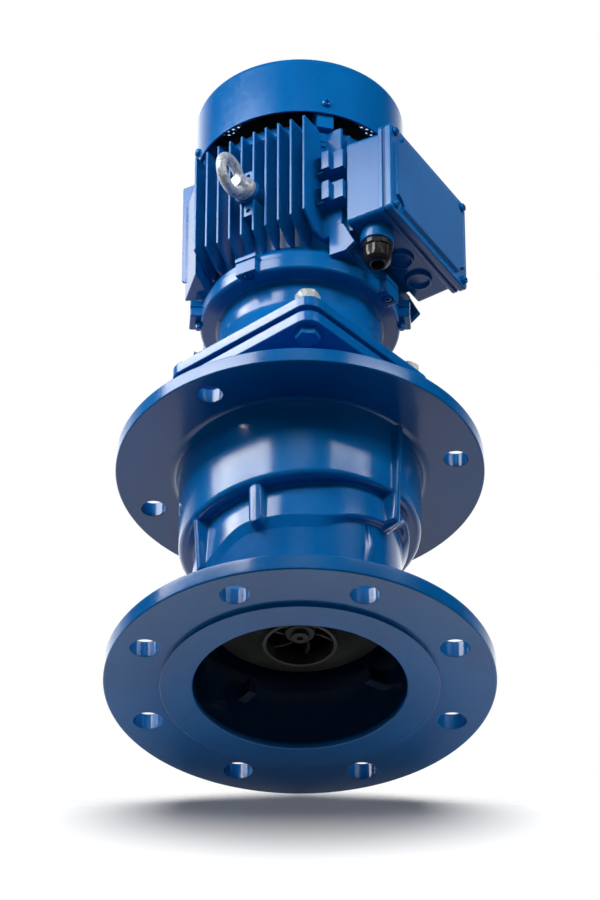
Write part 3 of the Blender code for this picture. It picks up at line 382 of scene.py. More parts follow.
def relief(net, height, depth, under=None):
    """Bump from a height pattern whose full swing is depth metres."""
    inputs = {"Height": height, "Distance": depth, "Strength": 1.0}
    if under:
        inputs["Normal"] = under
    return net.node("ShaderNodeBump", None, inputs)


def new_finish(name):
    material = bpy.data.materials.new(name)
    material.use_nodes = True
    return material, Net(material.node_tree)


def coated(net, settings):
    """Principled surface from its sockets' names and values, wired to the output."""
    shader = net.node("ShaderNodeBsdfPrincipled", None, settings)
    net.node("ShaderNodeOutputMaterial", None, {"Surface": shader}, give=None)


# %% Painted shade on the wall of the suction bore
def painted_bore_shade_mask(net):
    """1 on the wall of the suction bore, where shade is painted into the enamel, and 0 elsewhere."""
    place = net.node("ShaderNodeTexCoord", give="Object")
    flat = net.node("ShaderNodeVectorMath", {"operation": "MULTIPLY"},
                    {0: place, 1: (1.0, 1.0, 0.0)})
    reach = net.node("ShaderNodeVectorMath", {"operation": "LENGTH"}, {0: flat}, give="Value")
    at = net.node("ShaderNodeSeparateXYZ", None, {"Vector": place}, give=None)
    height = Wire(net, at.outputs["Z"])
    wall = net.ramp(height, 0.0300, 0.0460, BORE_RADIUS + 0.0001, CHAMBER_RADIUS + 0.0008)
    return net.ramp(height, 0.0005, 0.0060) * net.ramp(reach - wall, 0.0, 0.0003, 1.0, 0.0)


# %% Blue enamel
ENAMEL_DEEP = (0.0011, 0.098, 0.325, 1.0)
ENAMEL_LIGHT = (0.0016, 0.122, 0.385, 1.0)
# Near-black blue painted on the bore's wall and vanes as their shade
PAINTED_BORE_SHADE = (0.0010, 0.0120, 0.0420, 1.0)


def blue_enamel(name, peel_depth, skin_depth, gloss, peel_scale=850.0, bore=False):
    """Sprayed enamel: peel_depth and skin_depth in metres, gloss as a roughness."""
    material, net = new_finish(name)
    cloud = grain(net, 14.0, 3.0)
    fine = grain(net, 240.0, 2.0)
    peel = grain(net, peel_scale, 1.5)
    skin = grain(net, 95.0, 1.0)
    share = net.ramp(cloud * 0.75 + fine * 0.25, 0.36, 0.66)
    colour = tint(net, share, ENAMEL_DEEP, ENAMEL_LIGHT)
    # With bore set, the bore's wall and vanes get painted shade: a near-black blue
    if bore:
        colour = tint(net, painted_bore_shade_mask(net), colour, PAINTED_BORE_SHADE)
    bump = relief(net, skin, skin_depth)
    bump = relief(net, peel, peel_depth, under=bump)
    sheen = net.ramp(cloud * 0.5 + fine * 0.5, 0.35, 0.65, gloss - 0.025, gloss + 0.035)
    coated(net, {"Base Color": colour, "Roughness": sheen, "Normal": bump})
    return material


cast_enamel = blue_enamel("blue_enamel_on_casting", 0.000022, 0.00006, 0.17)
enamel_with_bore_shade = blue_enamel("blue_enamel_on_bored_casting", 0.000022, 0.00006, 0.17, bore=True)
sheet_enamel = blue_enamel("blue_enamel_on_sheet", 0.000012, 0.00003, 0.17, 900.0)
box_enamel = blue_enamel("blue_enamel_on_box", 0.000012, 0.00004, 0.22, 900.0)


# %% Bare metals
def bare_metal(name, dark, light, roughness, spangle, scratch, metallic=1.0):
    """Plated or galvanised steel: spangle cells, dull clouds and fine tool marks."""
    material, net = new_finish(name)
    place = net.node("ShaderNodeTexCoord", give="Object")
    cells = net.node("ShaderNodeTexVoronoi", {"feature": "F1"},
                     {"Vector": place, "Scale": spangle}, give="Color")
    cells = net.node("ShaderNodeSeparateColor", None, {"Color": cells})
    cloud = grain(net, 160.0, 4.0)
    marks = grain(net, 900.0, 2.0, (1.0, 1.0, 0.16))
    share = net.ramp(cells * 0.45 + cloud * 0.55, 0.25, 0.75)
    bump = relief(net, cloud, scratch * 3.0)
    bump = relief(net, marks, scratch, under=bump)
    sheen = net.ramp(share + marks * 0.3, 0.1, 1.2, roughness - 0.1, roughness + 0.12)
    coated(net, {"Base Color": tint(net, share, dark, light), "Metallic": metallic,
                 "Roughness": sheen, "Normal": bump})
    return material


galvanised = bare_metal("galvanised_steel", (0.46, 0.50, 0.57, 1.0), (0.66, 0.70, 0.78, 1.0),
                        0.36, 420.0, 0.00002, 0.40)
zinc_plate = bare_metal("zinc_plated_steel", (0.46, 0.50, 0.50, 1.0), (0.64, 0.68, 0.66, 1.0),
                        0.32, 260.0, 0.00002, 0.30)
shaft_steel = bare_metal("ground_shaft_steel", (0.42, 0.42, 0.43, 1.0), (0.62, 0.62, 0.62, 1.0),
                         0.28, 500.0, 0.00002)


# %% Impeller iron, gland and fan plastic, and gasket rubber
def dark_solid(name, one, two, roughness, depth, scale):
    """A dark moulded or cast surface with a matt skin."""
    material, net = new_finish(name)
    skin = grain(net, scale, 3.0)
    cloud = grain(net, 30.0, 3.0)
    share = net.ramp(cloud * 0.6 + skin * 0.4, 0.35, 0.65)
    coated(net, {"Base Color": tint(net, share, one, two),
                 "Roughness": net.ramp(cloud, 0.3, 0.7, roughness - 0.06, roughness + 0.08),
                 "Normal": relief(net, skin, depth)})
    return material


impeller_iron = dark_solid("coated_impeller_iron", (0.026, 0.027, 0.026, 1.0),
                           (0.052, 0.054, 0.051, 1.0), 0.38, 0.00016, 420.0)
gland_plastic = dark_solid("black_gland_plastic", (0.010, 0.010, 0.010, 1.0),
                           (0.022, 0.021, 0.020, 1.0), 0.30, 0.00003, 1400.0)
fan_plastic = dark_solid("black_fan_plastic", (0.012, 0.012, 0.013, 1.0),
                         (0.020, 0.020, 0.021, 1.0), 0.45, 0.00004, 900.0)
gasket_rubber = dark_solid("blue_black_gasket", (0.003, 0.040, 0.135, 1.0),
                           (0.005, 0.060, 0.190, 1.0), 0.55, 0.00003, 700.0)
print("finishes:", ", ".join(m.name for m in bpy.data.materials if m.users or m.use_nodes))

# %% [markdown]
# ## Pump casing
#
# The casing is one sand casting: a drilled suction flange, a waist, two steps that climb
# round the body, a wide band and the upper flange. The steps rise and fall with the
# azimuth, so the body can't be turned. Instead the same outline is drawn at each of some
# 260 azimuths, with its corner heights taken from the two step curves, and the outlines
# are skinned. Ribs are then pressed out of that skin by an eased mask, which gives them
# the soft roots that a foundry's fillets have. Four thin webs stand in the bore below the
# impeller, and they are a piece of their own.

# %% How the steps climb round the body
def ease(x):
    x = min(max(x, 0.0), 1.0)
    return x * x * (3 - 2 * x)


def stretch_between(azimuth, start, end, fade):
    """1 between two azimuths, eased to 0 outside them."""
    away = abs((azimuth - (start + end) / 2 + 180.0) % 360.0 - 180.0)
    return 1.0 - ease((away - (end - start) / 2) / fade)


def band_edge(azimuth):
    """Height of the edge under the wide band."""
    return 0.1265 + 0.0085 * math.sin(math.radians(azimuth))


def beak_edge(azimuth):
    """Height of the lower edge: it dips on the left, and on the right it rises to a beak."""
    dip = 0.0160 * stretch_between(azimuth, -170.0, -60.0, 32.0)
    climb = 0.0100 * stretch_between(azimuth, 55.0, 150.0, 45.0)
    beak = 0.0180 * stretch_between(azimuth, 68.0, 150.0, 14.0)
    return 0.0975 - dip + climb + beak


# %% The casing's outline at one azimuth
OUTLINE_ROWS = (0, 1, 0, 0, 1, 1, 30, 1, 22, 1, 30, 3, 2, 1, 1, 0, 1, 3, 3, 5, 2)
ARC_PIECES = 5


def casing_outline(azimuth):
    """Closed section in (reach, height), with the same number of points at any azimuth."""
    band_z = band_edge(azimuth)
    beak_z = beak_edge(azimuth)
    deep = stretch_between(azimuth, 30.0, 70.0, 24.0)
    middle = WAIST_RADIUS + (MIDDLE_RADIUS - WAIST_RADIUS) * (0.35 + 0.65 * deep)
    pinch = stretch_between(azimuth, 80.0, 120.0, 35.0)
    waist = WAIST_RADIUS - 0.0008 - 0.0028 * pinch
    corners = [
        (0.0580, CASING_TOP, 0.0006),
        (0.0928, CASING_TOP, 0.0002),
        (0.0928, UPPER_FLANGE_TOP, 0.0002),
        (UPPER_FLANGE_RADIUS, UPPER_FLANGE_TOP, 0.0013),
        (UPPER_FLANGE_RADIUS, UPPER_FLANGE_UNDERSIDE, 0.0013),
        (BAND_RADIUS, UPPER_FLANGE_UNDERSIDE, 0.0075),
        (BAND_RADIUS - 0.0010, band_z, 0.0066),
        (middle - 0.0022, band_z - 0.0002, 0.0014),
        (middle, beak_z, 0.0032),
        (waist, beak_z - 0.0012 - 0.0085 * (1.0 - deep), 0.0018 + 0.0042 * (1.0 - deep)),
        (waist - 0.0006 - 0.0026 * (1.0 - pinch), 0.0560, 0.0340),
        (WAIST_RADIUS + 0.0062, SUCTION_FLANGE_TOP, 0.0085),
        (FLANGE_RADIUS, SUCTION_FLANGE_TOP, 0.0015),
        (FLANGE_RADIUS, RAISED_FACE_HEIGHT, 0.0013),
        (RAISED_FACE_RADIUS, RAISED_FACE_HEIGHT, 0.0003),
        (RAISED_FACE_RADIUS, 0.0, 0.0005),
        (BORE_RADIUS, 0.0, 0.0013),
        (BORE_RADIUS - 0.0012, 0.0180, 0.0100),
        (CHAMBER_RADIUS, 0.0460, 0.0100),
        (CHAMBER_RADIUS, 0.1860, 0.0060),
        (0.0580, 0.1860, 0.0),
    ]
    arcs = rounded_arcs(corners)
    points = []
    for arc, following, rows in zip(arcs, arcs[1:] + arcs[:1], OUTLINE_ROWS):
        points.extend(arc)
        for k in range(1, rows + 1):
            points.append(arc[-1].lerp(following[0], k / (rows + 1)))
    return points


def rounded_arcs(corners):
    """The points of each corner's arc, ARC_PIECES + 1 of them where it has a radius."""
    arcs = []
    for i, corner in enumerate(corners):
        before = corners[i - 1][:2] + (0.0,)
        after = corners[(i + 1) % len(corners)][:2] + (0.0,)
        arcs.append(rounded([before, corner, after], closed=False, count=ARC_PIECES)[1:-1])
    return arcs


# %% Ribs, stub and gusset pressed out of the skin
# Each is azimuth, half widths low and high, reaches low and high, heights low and high.
CAST_RIBS = {
    "left rib": (-61.0, 0.0036, 0.0036, 0.0850, 0.0884, 0.0745, 0.131),
    "right rib": (51.0, 0.0044, 0.0030, 0.0915, 0.0962, 0.1065, 0.200),
    "back rib": (171.0, 0.0044, 0.0030, 0.0915, 0.0962, 0.1065, 0.200),
    "gusset": (39.5, 0.0040, 0.0004, 0.0810, 0.0850, 0.0640, 0.096),
    "stub": (-22.5, 0.0062, 0.0062, 0.0864, 0.0872, 0.0902, 0.131),
}
RIB_ROOT = 0.0013
CROWN = 0.35


def pressed_out(azimuth, reach, z):
    """Reach of the casing's skin after the ribs are raised from it."""
    for middle, half_low, half_high, low, high, z0, z1 in CAST_RIBS.values():
        across = math.radians((azimuth - middle + 180.0) % 360.0 - 180.0) * BAND_RADIUS
        if abs(across) > 0.012:
            continue
        up = min(max((z - z0) / (z1 - z0), 0.0), 1.0)
        half = half_low + (half_high - half_low) * up
        past = max(z0 + half - z, z - z1, 0.0)
        share = ease((half + RIB_ROOT - math.hypot(across, past)) / (2 * RIB_ROOT))
        top = low + (high - low) * up - CROWN * half * min(abs(across) / half, 1.0) ** 2
        reach += max(top - reach, 0.0) * share
    return reach


def casing_azimuths():
    """Azimuths close together at the ribs and 2.5 degrees apart elsewhere."""
    wanted = {round(2.5 * k, 3) for k in range(144)}
    for middle, half_low, half_high in (rib[:3] for rib in CAST_RIBS.values()):
        span = math.degrees((max(half_low, half_high) + 0.0022) / BAND_RADIUS)
        fine = 26
        near = {(middle - span + 2 * span * k / fine) % 360.0 for k in range(fine + 1)}
        far = {a for a in wanted if abs((a - middle + 180.0) % 360.0 - 180.0) > span + 0.4}
        wanted = far | near
    return sorted(wanted)


# %% Skin the outlines and drill the flanges
def carries_ribs(reach, z):
    """Whether a point of the outline is on the outside of the body, between the flanges."""
    between = SUCTION_FLANGE_TOP + 0.004 < z < UPPER_FLANGE_UNDERSIDE - 0.0002
    return between and reach > WAIST_RADIUS - 0.003


def casing_skin():
    form = bmesh.new()
    rings = []
    for azimuth in casing_azimuths():
        ring = []
        for reach, z in casing_outline(azimuth):
            if carries_ribs(reach, z):
                reach = pressed_out(azimuth, reach, z)
            ring.append(form.verts.new(place_at(azimuth, reach, z)))
        rings.append(ring)
    for one, two in zip(rings, rings[1:] + rings[:1]):
        for k in range(len(one)):
            after = (k + 1) % len(one)
            form.faces.new((one[k], one[after], two[after], two[k]))
    return form


HOLE_ROUNDING = 0.0005


def drill(radius, z0, z1, place):
    """Cutter for a through hole whose two rims are rounded."""
    flare = HOLE_ROUNDING
    wide = radius + 2 * flare
    outline = [(0.0, z0 - 0.002), (wide, z0 - 0.002), (wide, z0 - 0.0001)]
    for k in range(5):
        a = math.pi / 8 * k
        outline.append((radius + flare * (1 - math.sin(a)), z0 + flare * (1 - math.cos(a))))
    for k in range(4, -1, -1):
        a = math.pi / 8 * k
        outline.append((radius + flare * (1 - math.sin(a)), z1 - flare * (1 - math.cos(a))))
    outline += [(wide, z1 + 0.0001), (wide, z1 + 0.002), (0.0, z1 + 0.002)]
    return turned(outline, 40, place=place)


def suction_vane(azimuth):
    """Thin web inside the bore, which spreads where it meets the wall below."""
    def spread(co):
        low = 1.0 - ease((co.z - 0.030) / 0.009)
        return Vector((co.x * (1.0 + 1.3 * low), co.y, co.z))
    half, near, far = 0.0017, 0.0602, 0.0745
    outline = [(-half, -far), (half, -far), (half, -near), (-half, -near)]
    return slab(outline, 0.030, 0.044, 0.0009, 2, standing(azimuth), spread)


SUCTION_HOLE_RADIUS = 0.0107
SUCTION_HOLE_CIRCLE = 0.120
UPPER_HOLE_RADIUS = 0.0093
UPPER_HOLE_CIRCLE = 0.1175
UPPER_HOLE_AZIMUTHS = (-34.0, -110.5, 80.0, 156.5)

casing = piece_from("painted_pump_casing", casing_skin())
print("casing drawn at", len(casing_azimuths()), "azimuths")
suction_holes = [drill(SUCTION_HOLE_RADIUS, RAISED_FACE_HEIGHT, SUCTION_FLANGE_TOP,
                       standing(22.5 + 45.0 * k, SUCTION_HOLE_CIRCLE)) for k in range(8)]
upper_holes = [drill(UPPER_HOLE_RADIUS, UPPER_FLANGE_UNDERSIDE, UPPER_FLANGE_TOP,
                     standing(azimuth, UPPER_HOLE_CIRCLE)) for azimuth in UPPER_HOLE_AZIMUTHS]
cut(casing, piece_from("flange_drills", *suction_holes, *upper_holes))
dress(casing, enamel_with_bore_shade, "housing", "blue_paint", "pump_casing", sharp=50.0)
vanes = piece_from("painted_suction_vanes", *[suction_vane(125.0 + 90.0 * k) for k in range(4)])
dress(vanes, enamel_with_bore_shade, "housing", "blue_paint")

# %% [markdown]
# ## Casing cover and its square plate
#
# The cover closes the pump chamber and ends in a square plate set corner forwards. It is
# a turned neck joined to a flat slab with round corners. Because the neck flares into the
# plate, the outline does the fillet and the boolean only has to meet it.

# %% Square plates
PLATE_HALF = 0.072
PLATE_CORNER = 0.013


def square_plate(heights):
    """A square plate whose corner points to the front, its edges rounded."""
    place = standing(PLATE_AZIMUTH) @ Matrix.Rotation(math.radians(45.0), 4, "Z")
    half = PLATE_HALF
    corners = [(x, y, PLATE_CORNER)
               for x, y in ((half, -half), (half, half), (-half, half), (-half, -half))]
    return slab(rounded(corners, step=9.0), heights[0], heights[1], 0.0011, 3, place)


def bolt_drills(radius):
    """Cutters for the four bolts through both plates."""
    z0 = LOWER_PLATE[0] - 0.012
    z1 = UPPER_PLATE[1] + 0.012
    return [turned([(0.0, z0), (radius, z0), (radius, z1), (0.0, z1)], 24,
                   place=standing(PLATE_AZIMUTH + 90.0 * k, PLATE_BOLT_CIRCLE)) for k in range(4)]


cover_section = rounded([
    (0.0106, LOWER_PLATE[1] - 0.0004, 0.0),
    (0.0640, LOWER_PLATE[1] - 0.0004, 0.0),
    (0.0640, LOWER_PLATE[0] - 0.0005, 0.0050),
    (0.0575, 0.2540, 0.0100),
    (0.0580, 0.2300, 0.0200),
    (0.0650, 0.2190, 0.0080),
    (0.0912, 0.2172, 0.0022),
    (0.0920, CASING_TOP + TOUCH, 0.0006),
    (0.0577, CASING_TOP + TOUCH, 0.0),
    (0.0577, 0.1880, 0.0030),
    (0.0240, 0.1850, 0.0020),
    (0.0200, 0.1560, 0.0020),
    (0.0106, 0.1560, 0.0),
], step=14.0)
cover = piece_from("painted_casing_cover", turned(cover_section, 96, ring=True))
joined(cover, piece_from("lower_plate", square_plate(LOWER_PLATE)))
cut(cover, piece_from("cover_drills", *bolt_drills(0.0053)))
dress(cover, cast_enamel, "housing", "blue_paint", "casing_cover")

# %% [markdown]
# ## Drive end shield
#
# The motor's lower end shield carries the upper square plate, a short neck and a wide rim
# with four lugs. Each lug takes a sunk screw from below. Two more lugs, on the sides, have
# a small bolt each. The lugs are rounded blocks, and turned cutters make their recesses.

# %% Shield with its lugs
SHIELD_LUG_AZIMUTHS = [EYE_AZIMUTH + 90.0 * k for k in range(4)]
SIDE_LUG_AZIMUTHS = (-86.0, 86.0)
LUG_HALF = 0.0090
LUG_REACH, SIDE_LUG_REACH = 0.0815, 0.0845
SHIELD_SCREW_CIRCLE = 0.0765
shield_top = FRAME_BOTTOM - TOUCH
shield_section = rounded([
    (0.0106, shield_top, 0.0),
    (0.0763, shield_top, 0.0012),
    (0.0763, 0.3310, 0.0030),
    (0.0690, 0.3306, 0.0020),
    (0.0625, 0.3300, 0.0040),
    (0.0625, 0.3080, 0.0200),
    (0.0690, 0.2870, 0.0120),
    (0.0690, UPPER_PLATE[0] - 0.0002, 0.0),
    (0.0660, UPPER_PLATE[0] - 0.0002, 0.0),
    (0.0660, LOWER_PLATE[1] + TOUCH, 0.0005),
    (0.0106, LOWER_PLATE[1] + TOUCH, 0.0),
], step=14.0)


def lug(reach, heights, edge, azimuth):
    """Block that sticks out of the motor's joint face to a reach."""
    return brick((-LUG_HALF, LUG_HALF), (-reach, -0.0500), heights, edge, standing(azimuth))


lugs = [lug(LUG_REACH, (0.3308, shield_top), 0.0014, azimuth) for azimuth in SHIELD_LUG_AZIMUTHS]
lugs += [lug(SIDE_LUG_REACH, (0.3345, shield_top), 0.0014, azimuth) for azimuth in SIDE_LUG_AZIMUTHS]
shield = piece_from("painted_drive_end_shield", turned(shield_section, 112, ring=True))
joined(shield, piece_from("upper_plate", square_plate(UPPER_PLATE)))
joined(shield, piece_from("shield_lugs", *lugs))
screw_recesses = [turned([(0.0, 0.3280), (0.0046, 0.3280), (0.0046, 0.3328), (0.0026, 0.3331),
                          (0.0026, 0.3480), (0.0, 0.3480)], 32,
                         place=standing(azimuth, SHIELD_SCREW_CIRCLE))
                  for azimuth in SHIELD_LUG_AZIMUTHS]
cut(shield, piece_from("shield_drills", *bolt_drills(0.0053), *screw_recesses))
dress(shield, cast_enamel, "housing", "blue_paint", "drive_end_shield")

# %% Small bolts under the side lugs
SIDE_BOLT_REACH = 0.0775
side_bolt = rounded([(0.0, 0.3342, 0.0), (0.0026, 0.3342, 0.0), (0.0026, 0.3285, 0.0007),
                     (0.0, 0.3285, 0.0)], closed=False)
side_bolts = piece_from("painted_side_bolts",
                        *[turned(side_bolt, 28, place=standing(azimuth, SIDE_BOLT_REACH))
                          for azimuth in SIDE_LUG_AZIMUTHS])
dress(side_bolts, cast_enamel, "housing", "blue_paint")

# %% [markdown]
# ## Motor frame
#
# The frame is a barrel with ten upright fins on each side. The fins could be cut from a
# block, but they are one blank repeated: a geometry node tree sets them out along each
# side, shortens the outer ones, lifts their feet where the casting is coned, and turns the
# set round the shaft. The fins, pads and lugs are shells that run into each other, as
# cast metal does.

# %% Geometry nodes that set out the fins
def tree_with(name, **sockets):
    """Empty geometry tree with named inputs; returns its net, a reader and its output."""
    tree = bpy.data.node_groups.new(name, "GeometryNodeTree")
    net = Net(tree)
    tree.interface.new_socket("Geometry", in_out="OUTPUT", socket_type="NodeSocketGeometry")
    for label, kind in sockets.items():
        tree.interface.new_socket(label, in_out="INPUT", socket_type="NodeSocket" + kind)
    source = net.node("NodeGroupInput", give=None)
    return net, {label: Wire(net, source.outputs[label]) for label in sockets}


def close_tree(net, shape, finish):
    """End a tree in real geometry with its finish, as an export needs."""
    shape = net.node("GeometryNodeRealizeInstances", None, {"Geometry": shape})
    shape = net.node("GeometryNodeSetMaterial", None, {"Geometry": shape, "Material": finish})
    net.node("NodeGroupOutput", None, {0: shape}, give=None)
    return net.tree


def grown(name, tree, **values):
    """Run a geometry tree with these values and keep what it makes as a plain mesh."""
    piece = bpy.data.objects.new(name, bpy.data.meshes.new(name))
    bpy.context.scene.collection.objects.link(piece)
    step = piece.modifiers.new("grow", "NODES")
    step.node_group = tree
    for item in tree.interface.items_tree:
        if item.in_out == "INPUT" and item.name in values:
            step[item.identifier] = values[item.name]
    return settled(piece)


def fin_tree():
    net, size = tree_with("cooling_fins", Blank="Object", Count="Int", Pitch="Float", Sides="Int",
                          First_turn="Float", Tip_loss="Float", Foot_lift="Float", Foot_top="Float",
                          Finish="Material")
    start = net.node("ShaderNodeCombineXYZ", None, {"Y": (size["Count"] - 1) * size["Pitch"] * -0.5})
    row = net.node("GeometryNodeMeshLine", None, {
        "Count": size["Count"],
        "Start Location": start,
        "Offset": net.node("ShaderNodeCombineXYZ", None, {"Y": size["Pitch"]})})
    blank = net.node("GeometryNodeObjectInfo", {"transform_space": "ORIGINAL"},
                     {"Object": size["Blank"]}, give="Geometry")
    fins = net.node("GeometryNodeInstanceOnPoints", None, {"Points": row, "Instance": blank})
    fins = net.node("GeometryNodeRealizeInstances", None, {"Geometry": fins})
    at = net.node("GeometryNodeInputPosition")
    at = net.node("ShaderNodeSeparateXYZ", None, {"Vector": at}, give=None)
    reach, along, height = (Wire(net, socket) for socket in at.outputs)
    foot = net.ramp(height, size["Foot_top"], size["Foot_top"] + 0.02, 1.0, 0.0)
    moved = net.node("ShaderNodeCombineXYZ", None, {
        "X": reach - along * along * size["Tip_loss"],
        "Y": along,
        "Z": height + along * along * size["Foot_lift"] * foot})
    fins = net.node("GeometryNodeSetPosition", None, {"Geometry": fins, "Position": moved})
    sides = net.node("GeometryNodeMeshLine", None,
                     {"Count": size["Sides"], "Offset": (0.0, 0.0, 0.0)})
    turn = (net.node("GeometryNodeInputIndex") * 90.0 + size["First_turn"]) * math.radians(1.0)
    turn = net.node("FunctionNodeEulerToRotation", None,
                    {0: net.node("ShaderNodeCombineXYZ", None, {"Z": turn})})
    whole = net.node("GeometryNodeInstanceOnPoints", None,
                     {"Points": sides, "Instance": fins, "Rotation": turn})
    return close_tree(net, whole, size["Finish"])


FIN_TREE = fin_tree()

# %% One fin, and the four sides of them
FIN_THICKNESS = 0.0028


def fin_blank(name, tip):
    """A fin lying along +X with a coned foot, thinner and rounder at its tip."""
    def thinned(co):
        return Vector((co.x, co.y, co.z * (1.0 - 0.25 * max(co.x - BARREL_RADIUS, 0.0) / 0.0175)))
    root, knee, foot = 0.0500, 0.0630, 0.3610
    rise = 0.667 * (tip - knee)
    corners = [(root, foot), (knee, foot), (tip, foot + rise), (tip, FRAME_TOP), (root, FRAME_TOP)]
    upright = Matrix.Rotation(math.radians(90.0), 4, "X")
    form = slab(corners, -FIN_THICKNESS / 2, FIN_THICKNESS / 2, 0.0006, 3, upright, thinned)
    return piece_from(name, form)


def finned_sides(name, blank, sides, azimuth, finish):
    """Sides full of fins; azimuth is where the first of them faces."""
    made = grown(name, FIN_TREE, Blank=blank, Count=10, Pitch=0.0107, Sides=sides,
                 First_turn=azimuth - 90.0, Tip_loss=1 / 0.826, Foot_lift=2.2, Foot_top=0.376,
                 Finish=finish)
    bpy.data.objects.remove(blank, do_unlink=True)
    return made


long_fins = finned_sides("long_fins", fin_blank("fin", 0.0795), 3, EYE_AZIMUTH - 180.0, cast_enamel)
short_fins = finned_sides("short_fins", fin_blank("short_fin", 0.0685), 1, BOX_AZIMUTH, cast_enamel)

# %% Barrel, pads, lugs and bosses
frame_section = rounded([
    (0.0106, FRAME_TOP, 0.0),
    (BARREL_RADIUS, FRAME_TOP, 0.0008),
    (BARREL_RADIUS, 0.3600, 0.0080),
    (0.0733, 0.3500, 0.0030),
    (0.0733, FRAME_BOTTOM, 0.0005),
    (0.0106, FRAME_BOTTOM, 0.0),
], step=15.0)

PAD_REACH = 0.0865
PAD_HALF = 0.0175
PAD_ROOT_BOTTOM, PAD_TOP = 0.3475, 0.449
PAD_RISE = 0.0090


def foot_pad(azimuth):
    """Wedge that fills a corner between two sides, ends in a flat pad and slopes in below."""
    root = PAD_REACH - PAD_HALF

    def sloped(co):
        if co.z > 0.40:
            return co
        return Vector((co.x, co.y, co.z + PAD_RISE * (-co.y - root) / PAD_HALF))
    outline = [(0.0, -root), (PAD_HALF, -PAD_REACH), (-PAD_HALF, -PAD_REACH)]
    return slab(outline, PAD_ROOT_BOTTOM, PAD_TOP, 0.0008, 2, standing(azimuth), sloped)


def stepped_lugs(azimuth, mirror):
    """Two pairs of stepped blocks at a corner, with the thin rims of the pocket beside."""
    forms = []
    for low in (0.3915, 0.4215):
        high = low + 0.0175
        for near, far, reach in ((0.0560, 0.0630, 0.0640), (0.0622, 0.0729, 0.0597)):
            across = sorted((mirror * near, mirror * far))
            forms.append(brick(across, (-reach, -0.020), (low, high), 0.0007, standing(azimuth)))
        across = sorted((mirror * 0.0500, mirror * 0.0566))
        for shelf in (low + 0.0004, high - 0.0016):
            heights = (shelf, shelf + 0.0012)
            forms.append(brick(across, (-0.0600, -0.020), heights, 0.0003, standing(azimuth)))
    return forms


EYE_HEIGHT = 0.4115
EYE_SEAT_REACH = 0.0815


def eye_seat():
    """Bar between the two middle fins, and the round boss for the lifting eye."""
    heights = (EYE_HEIGHT - 0.022, EYE_HEIGHT + 0.022)
    bar = brick((-0.0044, 0.0044), (-0.0778, -0.050), heights, 0.0008, standing(EYE_AZIMUTH))
    outline = rounded([(0.0, 0.050, 0.0), (0.0105, 0.050, 0.0), (0.0105, EYE_SEAT_REACH, 0.0010),
                       (0.0, EYE_SEAT_REACH, 0.0)], closed=False)
    boss = turned(outline, 48, place=pointing_out(EYE_AZIMUTH, 0.0, EYE_HEIGHT))
    return [bar, boss]


def eye_bar_dimples():
    return [turned([(0.0, 0.0740), (0.0019, 0.0740), (0.0019, 0.0790), (0.0, 0.0790)], 20,
                   place=pointing_out(EYE_AZIMUTH, 0.0, z))
            for z in (EYE_HEIGHT - 0.017, EYE_HEIGHT + 0.0172)]


def box_pedestal():
    """Seat behind the terminal box, and the hollowed bracket under it with its two end ribs."""
    seat = brick((-0.043, 0.043), (-0.0732, -0.045), (0.3700, 0.4435), 0.0010,
                 standing(BOX_AZIMUTH))
    rib = rounded([(0.0555, 0.3465, 0.0), (0.0693, 0.3458, 0.0010), (0.0775, 0.3515, 0.0020),
                   (0.0680, 0.3728, 0.0020), (0.0555, 0.3760, 0.0)])
    back = rounded([(0.0555, 0.3465, 0.0), (0.0700, 0.3464, 0.0010), (0.0700, 0.3700, 0.0010),
                    (0.0555, 0.3760, 0.0)])
    onto_side = Matrix(((0, 0, 1, 0), (-1, 0, 0, 0), (0, 1, 0, 0), (0, 0, 0, 1)))
    sideways = standing(BOX_AZIMUTH) @ onto_side
    return [seat, slab(back, -0.0480, 0.0480, 0.0005, 2, sideways),
            slab(rib, -0.0510, -0.0468, 0.0006, 2, sideways),
            slab(rib, 0.0468, 0.0510, 0.0006, 2, sideways)]


# %% Put the motor frame together
frame_lugs = [lug(LUG_REACH, (FRAME_BOTTOM, FRAME_BOTTOM + 0.0046), 0.0009, azimuth)
              for azimuth in SHIELD_LUG_AZIMUTHS]
frame_lugs += [lug(SIDE_LUG_REACH, (FRAME_BOTTOM, FRAME_BOTTOM + 0.0065), 0.0009, azimuth)
               for azimuth in SIDE_LUG_AZIMUTHS]
rear_lugs = [brick((-0.0066, 0.0066), (-0.0733, -0.050), (0.4605, FRAME_TOP), 0.0008,
                   standing(REAR_LUG_AZIMUTH + 90.0 * k)) for k in range(4)]
pads = [foot_pad(EYE_AZIMUTH - 45.0), foot_pad(EYE_AZIMUTH - 135.0)]
motor = piece_from("painted_motor_frame", turned(frame_section, 96, ring=True), *frame_lugs,
                   *rear_lugs, *pads, *box_pedestal(), *stepped_lugs(EYE_AZIMUTH, 1.0),
                   *stepped_lugs(EYE_AZIMUTH + 180.0, -1.0))
seat = piece_from("eye_seat", *eye_seat())
cut(seat, piece_from("eye_bar_dimples", *eye_bar_dimples()))


def gathered(piece, *others):
    """Put other objects' shells into a piece as they are, and drop the objects."""
    whole = bmesh.new()
    for one in (piece,) + others:
        whole.from_mesh(one.data)
    whole.to_mesh(piece.data)
    whole.free()
    for other in others:
        bpy.data.objects.remove(other, do_unlink=True)
    return piece


gathered(motor, long_fins, short_fins, seat)
dress(motor, cast_enamel, "housing", "blue_paint", "motor_frame")

# %% [markdown]
# ## Fan cover
#
# The cover is a pressed steel cup whose end is perforated with rings of small holes: six
# in the first ring, twelve in the second and so on. Drilling hundreds of holes by hand
# makes no sense, so a tree works out each hole's ring from its number alone, sets a
# cutter there and subtracts the lot.

